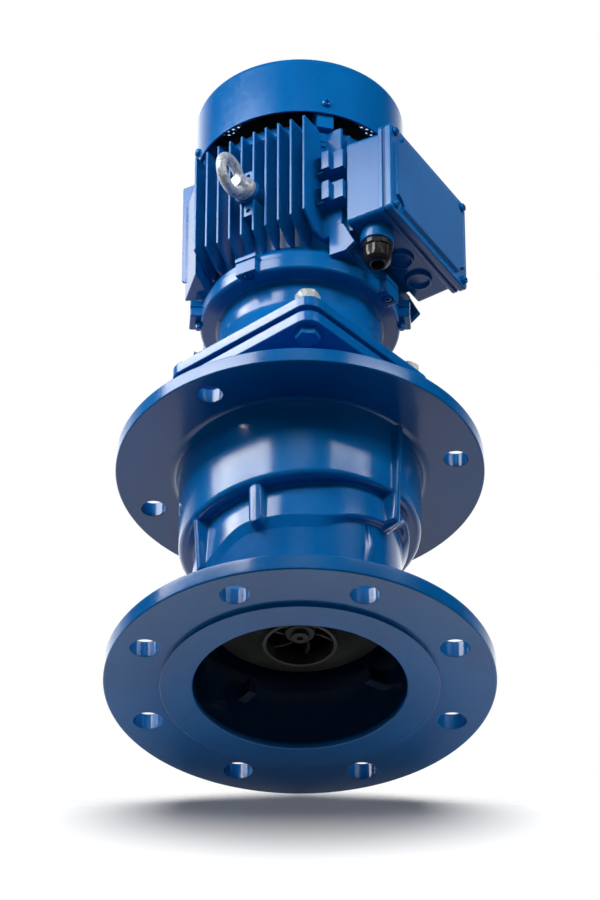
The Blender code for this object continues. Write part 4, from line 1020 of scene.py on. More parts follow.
# %% Geometry nodes that perforate the cover's end
def perforation_tree():
    net, size = tree_with("ring_perforation", Sheet="Object", Rings="Int", Pitch="Float",
                          Hole_radius="Float", Height="Float", Depth="Float", Finish="Material")
    count = (size["Rings"] + 1) * size["Rings"] * 3
    points = net.node("GeometryNodeMeshLine", None, {"Count": count, "Offset": (0.0, 0.0, 0.0)})
    index = net.node("GeometryNodeInputIndex")
    root = net.maths("SQRT", index * (4.0 / 3.0) + 1.0)
    ring = net.maths("FLOOR", (root + 1.0) * 0.5 + 0.00001)
    turn = (index - (ring - 1) * ring * 3) / (ring * 6) * (2 * math.pi)
    where = net.node("ShaderNodeCombineXYZ", None, {
        "X": net.maths("SINE", turn) * ring * size["Pitch"],
        "Y": net.maths("COSINE", turn) * ring * size["Pitch"] * -1.0,
        "Z": size["Height"]})
    points = net.node("GeometryNodeSetPosition", None, {"Geometry": points, "Position": where})
    punch = net.node("GeometryNodeMeshCylinder", None, {"Vertices": 8, "Radius": size["Hole_radius"],
                                                        "Depth": size["Depth"]}, give="Mesh")
    punches = net.node("GeometryNodeInstanceOnPoints", None, {"Points": points, "Instance": punch})
    punches = net.node("GeometryNodeRealizeInstances", None, {"Geometry": punches})
    sheet = net.node("GeometryNodeObjectInfo", None, {"Object": size["Sheet"]}, give="Geometry")
    holed = net.node("GeometryNodeMeshBoolean", {"operation": "DIFFERENCE", "solver": "EXACT"},
                     {"Mesh 1": sheet, "Mesh 2": punches}, give="Mesh")
    return close_tree(net, holed, size["Finish"])


WALL = 0.0018
COVER_SCREW_HEIGHT = 0.4925
fan_cover_section = rounded([
    (0.0, FAN_COVER_TOP, 0.0),
    (FAN_COVER_RADIUS, FAN_COVER_TOP, 0.0070),
    (FAN_COVER_RADIUS, FAN_COVER_BOTTOM, 0.0006),
    (FAN_COVER_RADIUS - WALL, FAN_COVER_BOTTOM, 0.0006),
    (FAN_COVER_RADIUS - WALL, FAN_COVER_TOP - WALL, 0.0052),
    (0.0, FAN_COVER_TOP - WALL, 0.0),
], closed=False, step=12.0)
blank_cover = piece_from("blank_cover", turned(fan_cover_section, 144))
fan_cover = grown("painted_fan_cover", perforation_tree(), Sheet=blank_cover, Rings=14, Pitch=0.0044,
                  Hole_radius=0.0016, Height=FAN_COVER_TOP - WALL / 2, Depth=0.006,
                  Finish=sheet_enamel)
bpy.data.objects.remove(blank_cover, do_unlink=True)
side_holes = [turned([(0.0, 0.075), (0.0022, 0.075), (0.0022, 0.085), (0.0, 0.085)], 20,
                     place=pointing_out(REAR_LUG_AZIMUTH + 90.0 * k, 0.0, COVER_SCREW_HEIGHT))
              for k in range(4)]
cut(fan_cover, piece_from("side_drills", *side_holes))
dress(fan_cover, sheet_enamel, "housing", "blue_paint", "fan_cover")

# %% [markdown]
# ## Rear end shield and tie bolts
#
# Behind the fan cover sits the motor's rear end shield. Little of it shows, but its lugs
# do, with the slim tie bolts that hold it to the frame.

# %% Rear shield
rear_section = rounded([
    (0.0106, 0.4915, 0.0),
    (0.0240, 0.4915, 0.0010),
    (0.0260, 0.4875, 0.0020),
    (0.0640, 0.4835, 0.0040),
    (0.0675, 0.4788, 0.0030),
    (0.0675, FRAME_TOP + TOUCH, 0.0006),
    (0.0106, FRAME_TOP + TOUCH, 0.0),
])
rear_ears = [brick((-0.0066, 0.0066), (-0.0782, -0.050), (FRAME_TOP + TOUCH, 0.4985), 0.0008,
                   standing(REAR_LUG_AZIMUTH + 90.0 * k)) for k in range(4)]
tie_bolt = rounded([
    (0.0, 0.0, 0.0),
    (0.0042, 0.0, 0.0),
    (0.0042, -0.0042, 0.0008),
    (0.0022, -0.0044, 0.0),
    (0.0022, -0.0135, 0.0006),
    (0.0, -0.0135, 0.0),
], closed=False)
tie_bolts = [turned(tie_bolt, 6, place=standing(REAR_LUG_AZIMUTH + 90.0 * k, 0.0690, 0.4604))
             for k in range(4)]
rear = piece_from("painted_rear_end_shield", turned(rear_section, 80, ring=True), *rear_ears,
                  *tie_bolts)
dress(rear, cast_enamel, "housing", "blue_paint", "rear_end_shield", sharp=32.0)

# %% [markdown]
# ## Terminal box
#
# A die-cast box on the right of the motor, with a rubber seam, a lid whose middle stands
# proud, and three entries below. Die casting leaves draft: each wall leans a little so
# that the part leaves its mould, and the lid's raised panel steps back round the screws.

# %% Box and seam
BOX_HALF = 0.0585
BOX_LOW, BOX_HIGH = 0.3640, 0.4495
BOX_RIM_FRONT, BOX_LID_BACK, BOX_LID_RIM, BOX_LID_FRONT = 0.1065, 0.1083, 0.1140, 0.1165
BOX_ENTRY_REACH = 0.0875
BOX_ENTRIES = (-0.034, 0.002, 0.030)
BOSS_DROP = 0.0090
box_place = pointing_out(BOX_AZIMUTH)


def box_layer(near, far, margin, corner, edge, draft=0.0):
    """A rounded slab of the box between two reaches, drawn in from its full outline."""
    x = (-BOX_HALF + margin, BOX_HALF - margin)
    y = (BOX_LOW + margin, BOX_HIGH - margin)
    middle = (BOX_LOW + BOX_HIGH) / 2

    def leaning(co):
        share = draft * (co.z - near) / (far - near)
        return Vector((co.x - math.copysign(share, co.x),
                       co.y - math.copysign(share, co.y - middle), co.z))
    return slab(rounded_rectangle(x, y, corner), near, far, edge, 3, box_place, leaning)


def below_box(along, drop=0.0):
    """Matrix that stands at one of the entries in the box's underside, or a drop below it."""
    return standing(BOX_AZIMUTH, BOX_ENTRY_REACH, BOX_LOW - drop, along)


def entry_boss(along):
    """Round boss under the box that the gland screws into."""
    outline = rounded([(0.0, 0.008, 0.0), (0.0128, 0.008, 0.0), (0.0128, -BOSS_DROP, 0.0009),
                       (0.0, -BOSS_DROP, 0.0)], closed=False)
    return turned(outline, 56, place=below_box(along))


body = piece_from("painted_terminal_box",
                  box_layer(0.0736, 0.1035, 0.0026, 0.0040, 0.0012, -0.0011))
joined(body, piece_from("box_rim", box_layer(0.1026, BOX_RIM_FRONT, 0.0002, 0.0045, 0.0008)))
joined(body, piece_from("gland_boss", entry_boss(BOX_ENTRIES[0])))
entry_holes = [turned([(0.0, -0.014), (0.0088, -0.014), (0.0088, 0.016), (0.0, 0.016)], 40,
                      place=below_box(BOX_ENTRIES[0]))]
entry_holes += [turned([(0.0, -0.004), (0.0104, -0.004), (0.0104, 0.0095), (0.0, 0.0095)], 40,
                       place=below_box(along)) for along in BOX_ENTRIES[1:]]
cut(body, piece_from("entry_drills", *entry_holes))
dress(body, box_enamel, "housing", "blue_paint", "terminal_box")

seam_layer = box_layer(BOX_RIM_FRONT - TOUCH, BOX_LID_BACK + TOUCH, 0.0011, 0.0040, 0.0003)
gasket = piece_from("box_seam", seam_layer)
dress(gasket, gasket_rubber, "housing", "dark_rubber", "terminal_box_gasket")

# %% Lid with its raised panel
LID_SCREWS = [(along, z) for along in (-0.052, 0.052) for z in (BOX_LOW + 0.0065, BOX_HIGH - 0.0065)]
lid = piece_from("painted_box_lid", box_layer(BOX_LID_BACK, BOX_LID_RIM, 0.0, 0.0045, 0.0010))
panel = piece_from("lid_panel",
                   box_layer(BOX_LID_RIM - 0.001, BOX_LID_FRONT, 0.0065, 0.0040, 0.0009, 0.0008))
notches = []
for along, z in LID_SCREWS:
    notches.append(turned([(0.0, 0.1120), (0.0101, 0.1120), (0.0105, 0.1220), (0.0, 0.1220)], 40,
                          place=pointing_out(BOX_AZIMUTH, 0.0, z, along)))
cut(panel, piece_from("lid_notches", *notches))
joined(lid, panel)
dress(lid, box_enamel, "housing", "blue_paint", "terminal_box_lid")

# %% Blanking plugs and cable gland
plug_section = rounded([(0.0, 0.0078, 0.0), (0.0100, 0.0078, 0.0), (0.0100, 0.0002, 0.0009),
                        (0.0082, 0.0002, 0.0005), (0.0078, 0.0032, 0.0008), (0.0, 0.0032, 0.0)],
                       closed=False)
for name, along in zip(("blank_plug_middle", "blank_plug_outer"), BOX_ENTRIES[1:]):
    plug = piece_from("painted_" + name, turned(plug_section, 56, place=below_box(along)))
    dress(plug, box_enamel, "housing", "blue_paint", name)


def hexagon(piece, flats, z0, z1, place):
    """Cut a turned piece to six flats between two heights."""
    corner = flats / math.sqrt(3)
    outline = [(corner * math.cos(math.pi / 3 * k), corner * math.sin(math.pi / 3 * k))
               for k in range(6)]
    return boolean(piece, [piece_from("flats", slab(outline, z0, z1, place=place))], "INTERSECT")


gland_place = below_box(BOX_ENTRIES[0], BOSS_DROP + TOUCH)
gland_section = rounded([
    (0.0040, 0.0150, 0.0),
    (0.0080, 0.0150, 0.0005),
    (0.0080, -0.0001, 0.0),
    (0.0118, -0.0001, 0.0004),
    (0.0118, -0.0045, 0.0006),
    (0.0080, -0.0045, 0.0),
    (0.0080, -0.0085, 0.0),
    (0.0040, -0.0085, 0.0),
])
gland = piece_from("gland_body", turned(gland_section, 72, ring=True, place=gland_place))
hexagon(gland, 0.0222, -0.02, 0.02, gland_place)
dress(gland, gland_plastic, "housing", "black_plastic", "cable_gland_body", sharp=28.0)

# %% Fluted nut of the gland
GLAND_FLUTES = 18
FLUTES_END = -0.0100


def fluted_nut():
    """Domed clamping nut with flutes round its upper half and an open mouth."""
    section = rounded([
        (0.0084, 0.0, 0.0),
        (0.0107, 0.0, 0.0006),
        (0.0107, -0.0078, 0.0012),
        (0.0102, -0.0106, 0.003),
        (0.0082, -0.0134, 0.0030),
        (0.0060, -0.0145, 0.0010),
        (0.0048, -0.0140, 0.0006),
        (0.0048, -0.0100, 0.0),
        (0.0084, -0.0084, 0.0),
    ], step=12.0)
    form = turned(section, GLAND_FLUTES * 6, ring=True)
    for vert in form.verts:
        reach = math.hypot(vert.co.x, vert.co.y)
        if reach > 0.0095 and vert.co.z > FLUTES_END:
            wave = math.cos(GLAND_FLUTES * math.atan2(vert.co.y, vert.co.x))
            fade = ease((vert.co.z - FLUTES_END) / 0.002)
            grow = 1.0 + fade * (0.0003 * max(wave, -0.4)) / reach
            vert.co.x *= grow
            vert.co.y *= grow
    form.transform(gland_place @ Matrix.Translation((0, 0, -0.0045 - TOUCH)))
    return form


gland_nut = piece_from("gland_nut", fluted_nut())
dress(gland_nut, gland_plastic, "housing", "black_plastic", "cable_gland_nut", sharp=28.0)

# %% [markdown]
# ## Lifting eye
#
# The eye is drop forged and hot-dip galvanised: a round ring that flows into a collar.
# Joining a torus and a turned stem and then remeshing the pair finely melts the seam
# between them, as forging does, and a little smoothing takes the steps out.

# %% Forged ring and collar
EYE_RING_REACH = 0.1035
EYE_RING_RADIUS = 0.0140
EYE_WIRE = 0.0041


def eye_ring():
    """Torus whose plane stands up on the boss's axis."""
    form = bmesh.new()
    steps, sides = 72, 24
    rings = []
    for k in range(steps):
        a = 2 * math.pi * k / steps
        out = Vector((0.0, math.cos(a), math.sin(a)))
        ring = []
        for s in range(sides):
            b = 2 * math.pi * s / sides
            beside = Vector((EYE_WIRE * math.sin(b), 0, 0))
            ring.append(form.verts.new(out * (EYE_RING_RADIUS + EYE_WIRE * math.cos(b)) + beside))
        rings.append(ring)
    for one, two in zip(rings, rings[1:] + rings[:1]):
        for s in range(sides):
            form.faces.new((one[s], two[s], two[(s + 1) % sides], one[(s + 1) % sides]))
    form.transform(pointing_out(EYE_AZIMUTH, EYE_RING_REACH, EYE_HEIGHT))
    return form


collar_section = rounded([
    (0.0, 0.0143, 0.0),
    (0.0055, 0.0143, 0.0),
    (0.0062, 0.0090, 0.004),
    (0.0090, 0.0058, 0.002),
    (0.0098, 0.0042, 0.0010),
    (0.0098, 0.0001, 0.0008),
    (0.0, 0.0001, 0.0),
], closed=False, step=12.0)
collar_place = pointing_out(EYE_AZIMUTH, EYE_SEAT_REACH + TOUCH, EYE_HEIGHT)
eye = piece_from("forged_lifting_eye", eye_ring())
joined(eye, piece_from("collar", turned(collar_section, 64, place=collar_place)))
melt = eye.modifiers.new("melt", "REMESH")
melt.mode = "VOXEL"
melt.voxel_size = 0.00045
soften = eye.modifiers.new("soften", "SMOOTH")
soften.iterations = 6
settled(eye)
dress(eye, galvanised, "housing", "bare_steel", "lifting_eye", sharp=60.0)

# %% [markdown]
# ## Bolts, nuts and screws
#
# Each kind of fastener is one blank, and a tree sets it out round the shaft: so many, on
# such a circle, at such a height, tilted to stand, hang or point out. The blanks are
# turned with their chamfer and cut to six flats, or given a cross recess.

# %% Geometry nodes that set out fasteners in a ring
def fastener_tree():
    net, size = tree_with("ring_of_fasteners", Blank="Object", Count="Int", Circle="Float",
                          Height="Float", First_azimuth="Float", Tilt="Float", Finish="Material")
    azimuth = net.node("GeometryNodeInputIndex") * 360.0 / size["Count"] + size["First_azimuth"]
    turn = azimuth * math.radians(1.0)
    where = net.node("ShaderNodeCombineXYZ", None, {
        "X": net.maths("SINE", turn) * size["Circle"],
        "Y": net.maths("COSINE", turn) * size["Circle"] * -1.0,
        "Z": size["Height"]})
    points = net.node("GeometryNodeMeshLine", None,
                      {"Count": size["Count"], "Offset": (0.0, 0.0, 0.0)})
    points = net.node("GeometryNodeSetPosition", None, {"Geometry": points, "Position": where})
    facing = net.node("ShaderNodeCombineXYZ", None,
                      {"X": size["Tilt"] * math.radians(1.0), "Z": turn})
    facing = net.node("FunctionNodeEulerToRotation", None, {0: facing})
    blank = net.node("GeometryNodeObjectInfo", {"transform_space": "ORIGINAL"},
                     {"Object": size["Blank"]}, give="Geometry")
    whole = net.node("GeometryNodeInstanceOnPoints", None,
                     {"Points": points, "Instance": blank, "Rotation": facing})
    return close_tree(net, whole, size["Finish"])


FASTENER_TREE = fastener_tree()


def ring_of(name, blank, finish, count, circle, height, azimuth, tilt=0.0):
    """Copies of a blank round the shaft as one piece; the blank is dropped."""
    made = grown(name, FASTENER_TREE, Blank=blank, Count=count, Circle=circle, Height=height,
                 First_azimuth=azimuth, Tilt=tilt, Finish=finish)
    bpy.data.objects.remove(blank, do_unlink=True)
    return made


# %% Hexagon bolts and nuts
# A chamfer starts at a share of the flats and falls by a share of what the corners stand out.
HEX_FLATS = 0.0165
CHAMFER_START = 0.96
CHAMFER_FALL = 0.62


def hex_head(name, flats, height, shank, length):
    """Bolt with its head above z = 0 and its shank below."""
    corner = flats / math.sqrt(3)
    droop = (corner - flats / 2) * CHAMFER_FALL
    outline = [(0.0, height), (flats / 2 * CHAMFER_START, height), (corner, height - droop),
               (corner, 0.0), (0.0, 0.0)]
    head = piece_from(name, turned(outline, 96))
    hexagon(head, flats, -0.05, 0.05, None)
    outline = rounded([(0.0, 0.0008, 0.0), (shank, 0.0008, 0.0), (shank, -length, 0.0006),
                       (0.0, -length, 0.0)], closed=False)
    return joined(head, piece_from("stem", turned(outline, 28)))


def hex_nut(name, flats, height, bore):
    """Nut standing on z = 0, chamfered on top, with a countersunk bore."""
    corner = flats / math.sqrt(3)
    droop = (corner - flats / 2) * CHAMFER_FALL
    outline = [(bore, 0.0), (corner, 0.0), (corner, height - droop),
               (flats / 2 * CHAMFER_START, height), (bore + 0.0008, height),
               (bore, height - 0.0008)]
    nut = piece_from(name, turned(outline, 96, ring=True))
    return hexagon(nut, flats, -0.05, 0.05, None)


under_plate = LOWER_PLATE[0] - TOUCH
plate_bolt = hex_head("bolt", HEX_FLATS, 0.0064, 0.0049, UPPER_PLATE[1] + 0.0130 - under_plate)
bolts = ring_of("painted_plate_bolts", plate_bolt, cast_enamel, 4, PLATE_BOLT_CIRCLE, under_plate,
                PLATE_AZIMUTH, 180.0)
dress(bolts, cast_enamel, "housing", "blue_paint", "plate_bolt_front", "plate_bolt_right",
      "plate_bolt_back", "plate_bolt_left", sharp=24.0)
plate_nut = hex_nut("nut", HEX_FLATS, 0.0118, 0.0052)
nuts = ring_of("zinc_plate_nuts", plate_nut, zinc_plate, 4, PLATE_BOLT_CIRCLE,
               UPPER_PLATE[1] + TOUCH, PLATE_AZIMUTH)
dress(nuts, zinc_plate, "housing", "bare_steel", "plate_nut_front", "plate_nut_right",
      "plate_nut_back", "plate_nut_left", sharp=24.0)
FOOT_BOLT_CIRCLE = 0.0800
FOOT_BOLT_SEAT = 0.2182
foot_bolt = hex_head("foot_bolt", 0.0120, 0.0050, 0.0036, 0.0060)
foot_bolts = ring_of("painted_cover_bolts", foot_bolt, cast_enamel, 6, FOOT_BOLT_CIRCLE,
                     FOOT_BOLT_SEAT, PLATE_AZIMUTH + 30.0)
dress(foot_bolts, cast_enamel, "housing", "blue_paint", sharp=24.0)


# %% Cross recessed screws
def pan_screw(name, head, height, shank, length):
    """Domed screw standing on z = 0 with a cross recess."""
    outline = rounded([(0.0, height, 0.0), (head * 0.75, height * 0.97, 0.0012),
                       (head, height * 0.4, 0.0006), (head, 0.0, 0.0002), (shank, 0.0, 0.0),
                       (shank, -length, 0.0), (0.0, -length, 0.0)], closed=False)
    screw = piece_from(name, turned(outline, 36))
    arm, half = head * 0.62, head * 0.15
    arms = [brick((-arm, arm), (-half, half), (height * 0.35, height + 0.002), 0.0),
            brick((-half, half), (-arm, arm), (height * 0.35, height + 0.002), 0.0)]
    for form in arms:
        cut(screw, piece_from("cross", form))
    return screw


def dress_screws(piece, finish, node):
    """Dress four screws that stand for a node's four numbered ones."""
    names = ["%s_%d" % (node, number) for number in (1, 2, 3, 4)]
    dress(piece, finish, "housing", "blue_paint", *names, sharp=30.0)


shield_screw = pan_screw("screw", 0.0038, 0.0024, 0.0022, 0.012)
shield_screws = ring_of("painted_shield_screws", shield_screw, cast_enamel, 4,
                        SHIELD_SCREW_CIRCLE, 0.3327, EYE_AZIMUTH, 180.0)
dress_screws(shield_screws, cast_enamel, "shield_screw")
cover_screw = pan_screw("screw", 0.0036, 0.0028, 0.0019, 0.005)
cover_screws = ring_of("painted_cover_screws", cover_screw, sheet_enamel, 4,
                       FAN_COVER_RADIUS + 0.0001, COVER_SCREW_HEIGHT, REAR_LUG_AZIMUTH, 90.0)
dress_screws(cover_screws, sheet_enamel, "fan_cover_screw")


def lid_screw_set():
    """The lid's four screws sit in a rectangle, so each blank is placed by its own matrix."""
    forms = []
    blank = pan_screw("screw", 0.0036, 0.0030, 0.0019, 0.004)
    turn = Matrix.Rotation(math.radians(30.0), 4, "Z")
    for along, z in LID_SCREWS:
        form = bmesh.new()
        form.from_mesh(blank.data)
        form.transform(pointing_out(BOX_AZIMUTH, BOX_LID_RIM + 0.0001, z, along) @ turn)
        forms.append(form)
    bpy.data.objects.remove(blank, do_unlink=True)
    return piece_from("painted_lid_screws", *forms)


dress_screws(lid_screw_set(), box_enamel, "lid_screw")

# %% [markdown]
# ## Rotor: impeller, cap screw, fan and shaft
#
# The impeller shows only through the suction bore, as a dark flared shroud with an eye
# and curved blades behind it. Its blades are strips bent by a constant sweep. The shroud
# is turned with smooth curves, because it is the one form that catches light in there.

# %% Impeller
def impeller_blade(turn):
    """Curved blade from the hub to the rim, its leading edge rounded."""
    rails = []
    points = 22
    for side in (-1.0, 1.0):
        rail = []
        for k in range(points):
            share = k / (points - 1)
            reach = 0.0112 + 0.0530 * share
            thick = 0.0012 * min(1.0, 0.35 + 4.0 * share)
            a = turn + 1.35 * share + side * thick / reach
            rail.append((reach * math.cos(a), reach * math.sin(a)))
        rails.append(rail)
    return slab(rails[0] + rails[1][::-1], 0.0480, 0.0852)


shroud_inner = [(0.0, 0.1000), (0.0648, 0.1000), (0.0648, 0.0615), (0.0450, 0.0600),
                (0.0340, 0.0530), (0.0262, 0.0470), (0.0, 0.0470)]
blades = piece_from("blades", *[impeller_blade(math.pi / 3 * k) for k in range(6)])
boolean(blades, [piece_from("shroud_inside", turned(shroud_inner, 72))], "INTERSECT")
hub_section = rounded([
    (0.0103, 0.0960, 0.0),
    (0.0170, 0.0960, 0.0010),
    (0.0180, 0.0880, 0.0010),
    (0.0650, 0.0880, 0.0008),
    (0.0650, 0.0842, 0.0008),
    (0.0300, 0.0838, 0.0250),
    (0.0152, 0.0660, 0.0200),
    (0.0110, 0.0500, 0.0010),
    (0.0103, 0.0500, 0.0),
], step=9.0)
shroud_section = rounded([
    (0.0246, 0.0480, 0.0),
    (0.0292, 0.0565, 0.0060),
    (0.0450, 0.0612, 0.0200),
    (0.0650, 0.0632, 0.0008),
    (0.0650, 0.0600, 0.0008),
    (0.0450, 0.0572, 0.0240),
    (0.0335, 0.0505, 0.0120),
    (0.0284, 0.0430, 0.0080),
    (0.0272, 0.0380, 0.0006),
    (0.0246, 0.0380, 0.0006),
], step=9.0)
impeller = piece_from("coated_impeller", turned(hub_section, 96, ring=True),
                      turned(shroud_section, 120, ring=True))
gathered(impeller, blades)
dress(impeller, impeller_iron, "rotor", "dark_iron", "impeller")

cap_section = rounded([
    (0.0, 0.0494, 0.0),
    (0.0105, 0.0494, 0.0003),
    (0.0105, 0.0478, 0.0004),
    (0.0066, 0.0478, 0.0),
    (0.0064, 0.0440, 0.0009),
    (0.0024, 0.0440, 0.0003),
    (0.0022, 0.0465, 0.0),
    (0.0, 0.0465, 0.0),
], closed=False, step=15.0)
cap = piece_from("impeller_cap", turned(cap_section, 48))
dress(cap, impeller_iron, "rotor", "dark_iron", "impeller_cap_screw")

# %% Open paddle fan and shaft
FAN_DISC_HEIGHT = 0.506


def fan_blade(turn):
    """Flat paddle, standing upright on the hub disc."""
    upright = Matrix.Rotation(turn, 4, "Z") @ Matrix.Rotation(math.radians(90.0), 4, "X")
    place = Matrix.Translation((0, 0, FAN_DISC_HEIGHT)) @ upright
    outline = rounded([(0.016, -0.0015, 0.001), (0.0705, -0.0015, 0.002), (0.0708, 0.0140, 0.002),
                       (0.0640, 0.0218, 0.003), (0.016, 0.0218, 0.001)])
    return slab(outline, -0.00095, 0.00095, 0.0004, 2, place)


fan_section = rounded([
    (0.0103, 0.5298, 0.0),
    (0.0170, 0.5298, 0.0008),
    (0.0180, 0.5092, 0.0020),
    (0.0585, 0.5066, 0.0008),
    (0.0585, 0.5042, 0.0008),
    (0.0180, 0.5026, 0.0010),
    (0.0103, 0.5026, 0.0),
])
fan = piece_from("paddle_fan", turned(fan_section, 64, ring=True),
                 *[fan_blade(math.pi / 4 * k) for k in range(8)])
dress(fan, fan_plastic, "rotor", "black_plastic", "cooling_fan")

shaft_section = rounded([(0.0, 0.532, 0.0), (0.010, 0.532, 0.0010), (0.010, 0.0520, 0.0004),
                         (0.0, 0.0520, 0.0)], closed=False)
shaft = piece_from("ground_shaft", turned(shaft_section, 56))
dress(shaft, shaft_steel, "rotor", "bare_steel", "shaft")

# %% [markdown]
# ## Camera
#
# The photograph looks up at the pump from below its front, with the suction flange
# nearest. A long lens keeps the two flanges almost the same shape.

# %% Camera
FOCUS = Vector((0.0, 0.0, 0.2170))
VIEW_BELOW = 37.5
VIEW_DISTANCE = 3.7412
lens = bpy.data.cameras.new("camera")
lens.lens = 200.0
lens.sensor_width = 36.0
lens.sensor_fit = "AUTO"
lens.clip_end = 50.0
camera = bpy.data.objects.new("camera", lens)
tilt = math.radians(VIEW_BELOW)
camera.location = FOCUS + VIEW_DISTANCE * Vector((0.0, -math.cos(tilt), -math.sin(tilt)))
camera.rotation_euler = (math.radians(90.0 + VIEW_BELOW), 0.0, 0.0)
bpy.context.scene.collection.objects.link(camera)
bpy.context.scene.camera = camera
bpy.context.scene.view_settings.view_transform = "Standard"
print("camera %.2f m away, %.1f degrees below the pump" % (VIEW_DISTANCE, VIEW_BELOW))

# %% [markdown]
# ## Studio: world, lamps and floors
#
# The pump stands on pure white. Behind it the surroundings are white too, and its sides
# mirror them at a glancing angle. In front they are dark, so the faces that look at the
# camera show their own blue. On the left a wide sheet with a strip in it makes the broad
# highlight with a soft border, and on the right a strip makes the narrow one. A small
# sheet far to the left is mirrored in the plates' edges. The other lamps leave no mirror
# image and only light the paint.

# %% World
world = bpy.data.worlds.new("studio")
bpy.context.scene.world = world
world.use_nodes = True
net = Net(world.node_tree)
toward = net.node("ShaderNodeTexCoord", give="Generated")
toward = net.node("ShaderNodeSeparateXYZ", None, {"Vector": toward}, give=None)
behind = net.ramp(Wire(net, toward.outputs["Y"]), 0.25, 0.85, 0.002, 2.1)
behind = behind * net.ramp(Wire(net, toward.outputs["X"]), -0.2, 0.6, 1.0, 0.58)
behind = behind * net.ramp(Wire(net, toward.outputs["Z"]), -0.4, 0.1, 0.5, 1.0)
path = net.node("ShaderNodeLightPath", give=None)
camera_ray = Wire(net, path.outputs["Is Camera Ray"])
diffuse_ray = Wire(net, path.outputs["Is Diffuse Ray"])
lit = behind * (1 - camera_ray) * (1 - diffuse_ray * 0.90)
strength = lit + camera_ray
WHITE = (1.0, 1.0, 1.0, 1.0)
surround = net.node("ShaderNodeBackground", None, {"Color": WHITE, "Strength": strength})
net.node("ShaderNodeOutputWorld", None, {"Surface": surround}, give=None)
print("world of", len(world.node_tree.nodes), "nodes")


# %% Lamps
def soft_lamp(name, azimuth, height, distance, aim_height, size, radiance, mirrored=True, spread=180.0):
    """Rectangular lamp at an azimuth and height, aimed at the shaft at another height."""
    data = bpy.data.lights.new(name, "AREA")
    data.shape = "RECTANGLE"
    data.size, data.size_y = size
    data.spread = math.radians(spread)
    focus = 1.0
    if spread < 180.0:
        half = math.radians(spread / 2)
        focus = (math.tan(half) - half) / math.tan(half)
    data.energy = radiance * focus * math.pi * size[0] * size[1]
    lamp = bpy.data.objects.new(name, data)
    lamp.location = place_at(azimuth, distance, height)
    aim = Vector((0.0, 0.0, aim_height)) - lamp.location
    lamp.rotation_euler = aim.to_track_quat("-Z", "Y").to_euler()
    lamp.visible_glossy = mirrored
    lamp.visible_camera = False
    bpy.context.scene.collection.objects.link(lamp)
    return lamp


lamps = [
    soft_lamp("left_sheet", -57.0, 0.98, 1.0, 0.20, (1.20, 0.44), 8.0),
    soft_lamp("left_strip", -51.0, 0.84, 1.0, 0.16, (0.90, 0.08), 7.5),
    soft_lamp("right_strip", 46.0, 0.845, 1.0, 0.16, (0.65, 0.09), 7.5),
    soft_lamp("front_beam", 0.0, 1.15, 1.5, 0.27, (0.50, 0.50), 22.0, mirrored=False, spread=40.0),
    soft_lamp("right_fill", 55.0, 0.95, 1.4, 0.25, (0.50, 0.50), 11.0, mirrored=False),
    soft_lamp("left_fill", -50.0, 0.80, 1.4, 0.25, (0.50, 0.50), 5.0, mirrored=False),
    soft_lamp("plate_sheet", -86.0, 1.13, 1.05, 0.36, (0.40, 0.16), 5.0),
    soft_lamp("low_fill", 0.0, -0.45, 1.5, 0.25, (0.50, 0.50), 3.0, mirrored=False),
    soft_lamp("far_left_fill", -82.0, 0.40, 1.4, 0.15, (0.50, 0.50), 3.0, mirrored=False),
    soft_lamp("far_right_fill", 82.0, 0.40, 1.4, 0.15, (0.50, 0.50), 4.0, mirrored=False),
]
print("lamps:", ", ".join(lamp.name for lamp in lamps))

# %% Floors
FLOOR_BOUNCE_LOST = 0.35


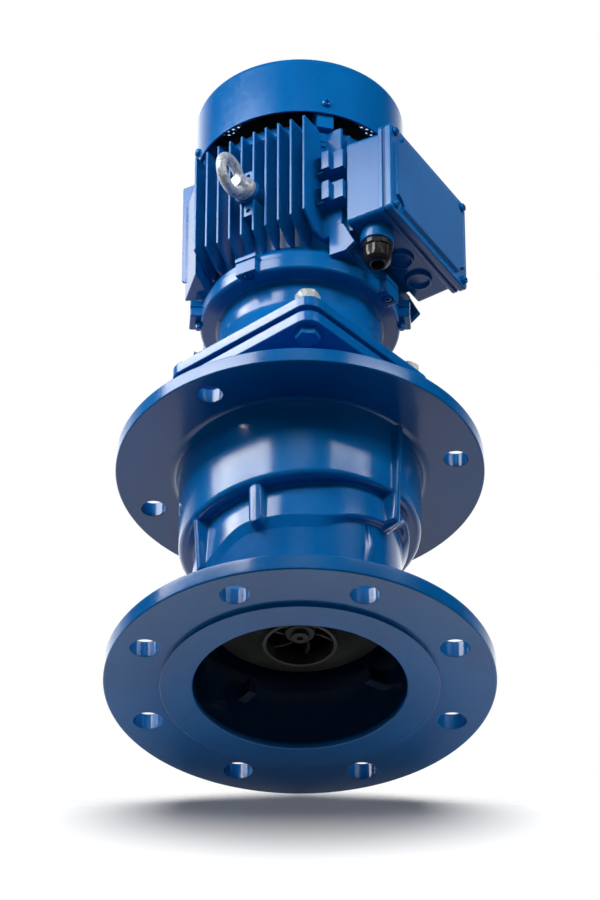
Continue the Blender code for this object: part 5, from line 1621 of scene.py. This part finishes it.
def floor_finish(name, reach, own_light, short=False):
    """Pale sheet that fades out at its border and is clear from its back.

    A short one also ends where the pump touches it, and throws less light back up.
    """
    material, net = new_finish(name)
    place = net.node("ShaderNodeTexCoord", give="Object")
    away = net.node("ShaderNodeVectorMath", {"operation": "LENGTH"}, {0: place}, give="Value")
    fade = net.ramp(away, reach * 0.66, reach * 0.98, 1.0, 0.0)
    if short:
        local = net.node("ShaderNodeSeparateXYZ", None, {"Vector": place}, give=None)
        beside = net.maths("ABSOLUTE", Wire(net, local.outputs["X"])) * 0.16
        fade = fade * net.ramp(Wire(net, local.outputs["Y"]) + beside, -0.012, 0.02, 1.0, 0.0)
        bounce = net.node("ShaderNodeLightPath", give="Is Diffuse Ray")
        fade = fade * (1 - bounce * FLOOR_BOUNCE_LOST)
    mottle = grain(net, 3.0, 2.0)
    front = 1 - net.node("ShaderNodeNewGeometry", give="Backfacing")
    paint = net.node("ShaderNodeBsdfDiffuse", None, {
        "Color": tint(net, mottle, (0.84, 0.84, 0.84, 1.0), (0.88, 0.88, 0.88, 1.0))})
    glow = net.node("ShaderNodeEmission", None, {"Color": WHITE, "Strength": own_light})
    paint = net.node("ShaderNodeAddShader", None, {0: paint, 1: glow})
    clear = net.node("ShaderNodeBsdfTransparent")
    shader = net.node("ShaderNodeMixShader", None, {0: front * fade, 1: clear, 2: paint})
    net.node("ShaderNodeOutputMaterial", None, {"Surface": shader}, give=None)
    return material


def disc(name, radius, finish, place):
    sheet = piece_from(name, turned([(0.0, 0.0), (radius, 0.0)], 96))
    for polygon in sheet.data.polygons:
        if polygon.normal.z < 0.0:
            polygon.flip()
    sheet.data.materials.append(finish)
    sheet.matrix_world = place
    return sheet


just_below = Matrix.Translation((0, 0, -0.0002))
level_floor = disc("level_floor", 1.0, floor_finish("pale_floor", 1.0, 0.30), just_below)
level_floor.visible_diffuse = False
level_floor.visible_glossy = False
level_floor.visible_shadow = False
level_floor.visible_transmission = False
LEAN = math.radians(49.5)
LEANING_REACH = 0.48
touching = Matrix.Translation((0.0, FLANGE_RADIUS, RAISED_FACE_HEIGHT))
leaning_finish = floor_finish("pale_leaning_floor", LEANING_REACH, 0.10, short=True)
leaning_floor = disc("leaning_floor", LEANING_REACH, leaning_finish,
                     touching @ Matrix.Rotation(LEAN, 4, "X"))
print("floors: one level, one leaning by %.1f degrees" % math.degrees(LEAN))

# %% [markdown]
# ## The shadow has its own lamp
#
# The photograph has one soft shadow below the flange, though it looks at the pump from
# below. So a second floor leans towards the camera, from the flange's far edge on, and the
# level one is for the views from above. The shadow comes from a lamp that lights the
# floor and nothing else, and the other lamps pass the leaning floor by. So the shadow and
# the paint can be set apart from each other.

# %% Lamp for the floors, and lamps that skip one
def link_lamp(lamp, state, *pieces):
    """Let a lamp light only these pieces (INCLUDE), or all but these (EXCLUDE)."""
    group = bpy.data.collections.new(lamp.name + "_linking")
    for piece in pieces:
        group.objects.link(piece)
    for member in group.collection_objects:
        member.light_linking.link_state = state
    lamp.light_linking.receiver_collection = group


floor_lamp = soft_lamp("floor_lamp", 0.0, 1.0, 1.9, 0.0, (3.0, 1.50), 6.6, mirrored=False)
link_lamp(floor_lamp, "INCLUDE", leaning_floor, level_floor)
for lamp in lamps:
    link_lamp(lamp, "EXCLUDE", leaning_floor)
print(len(lamps), "lamps pass the leaning floor by")
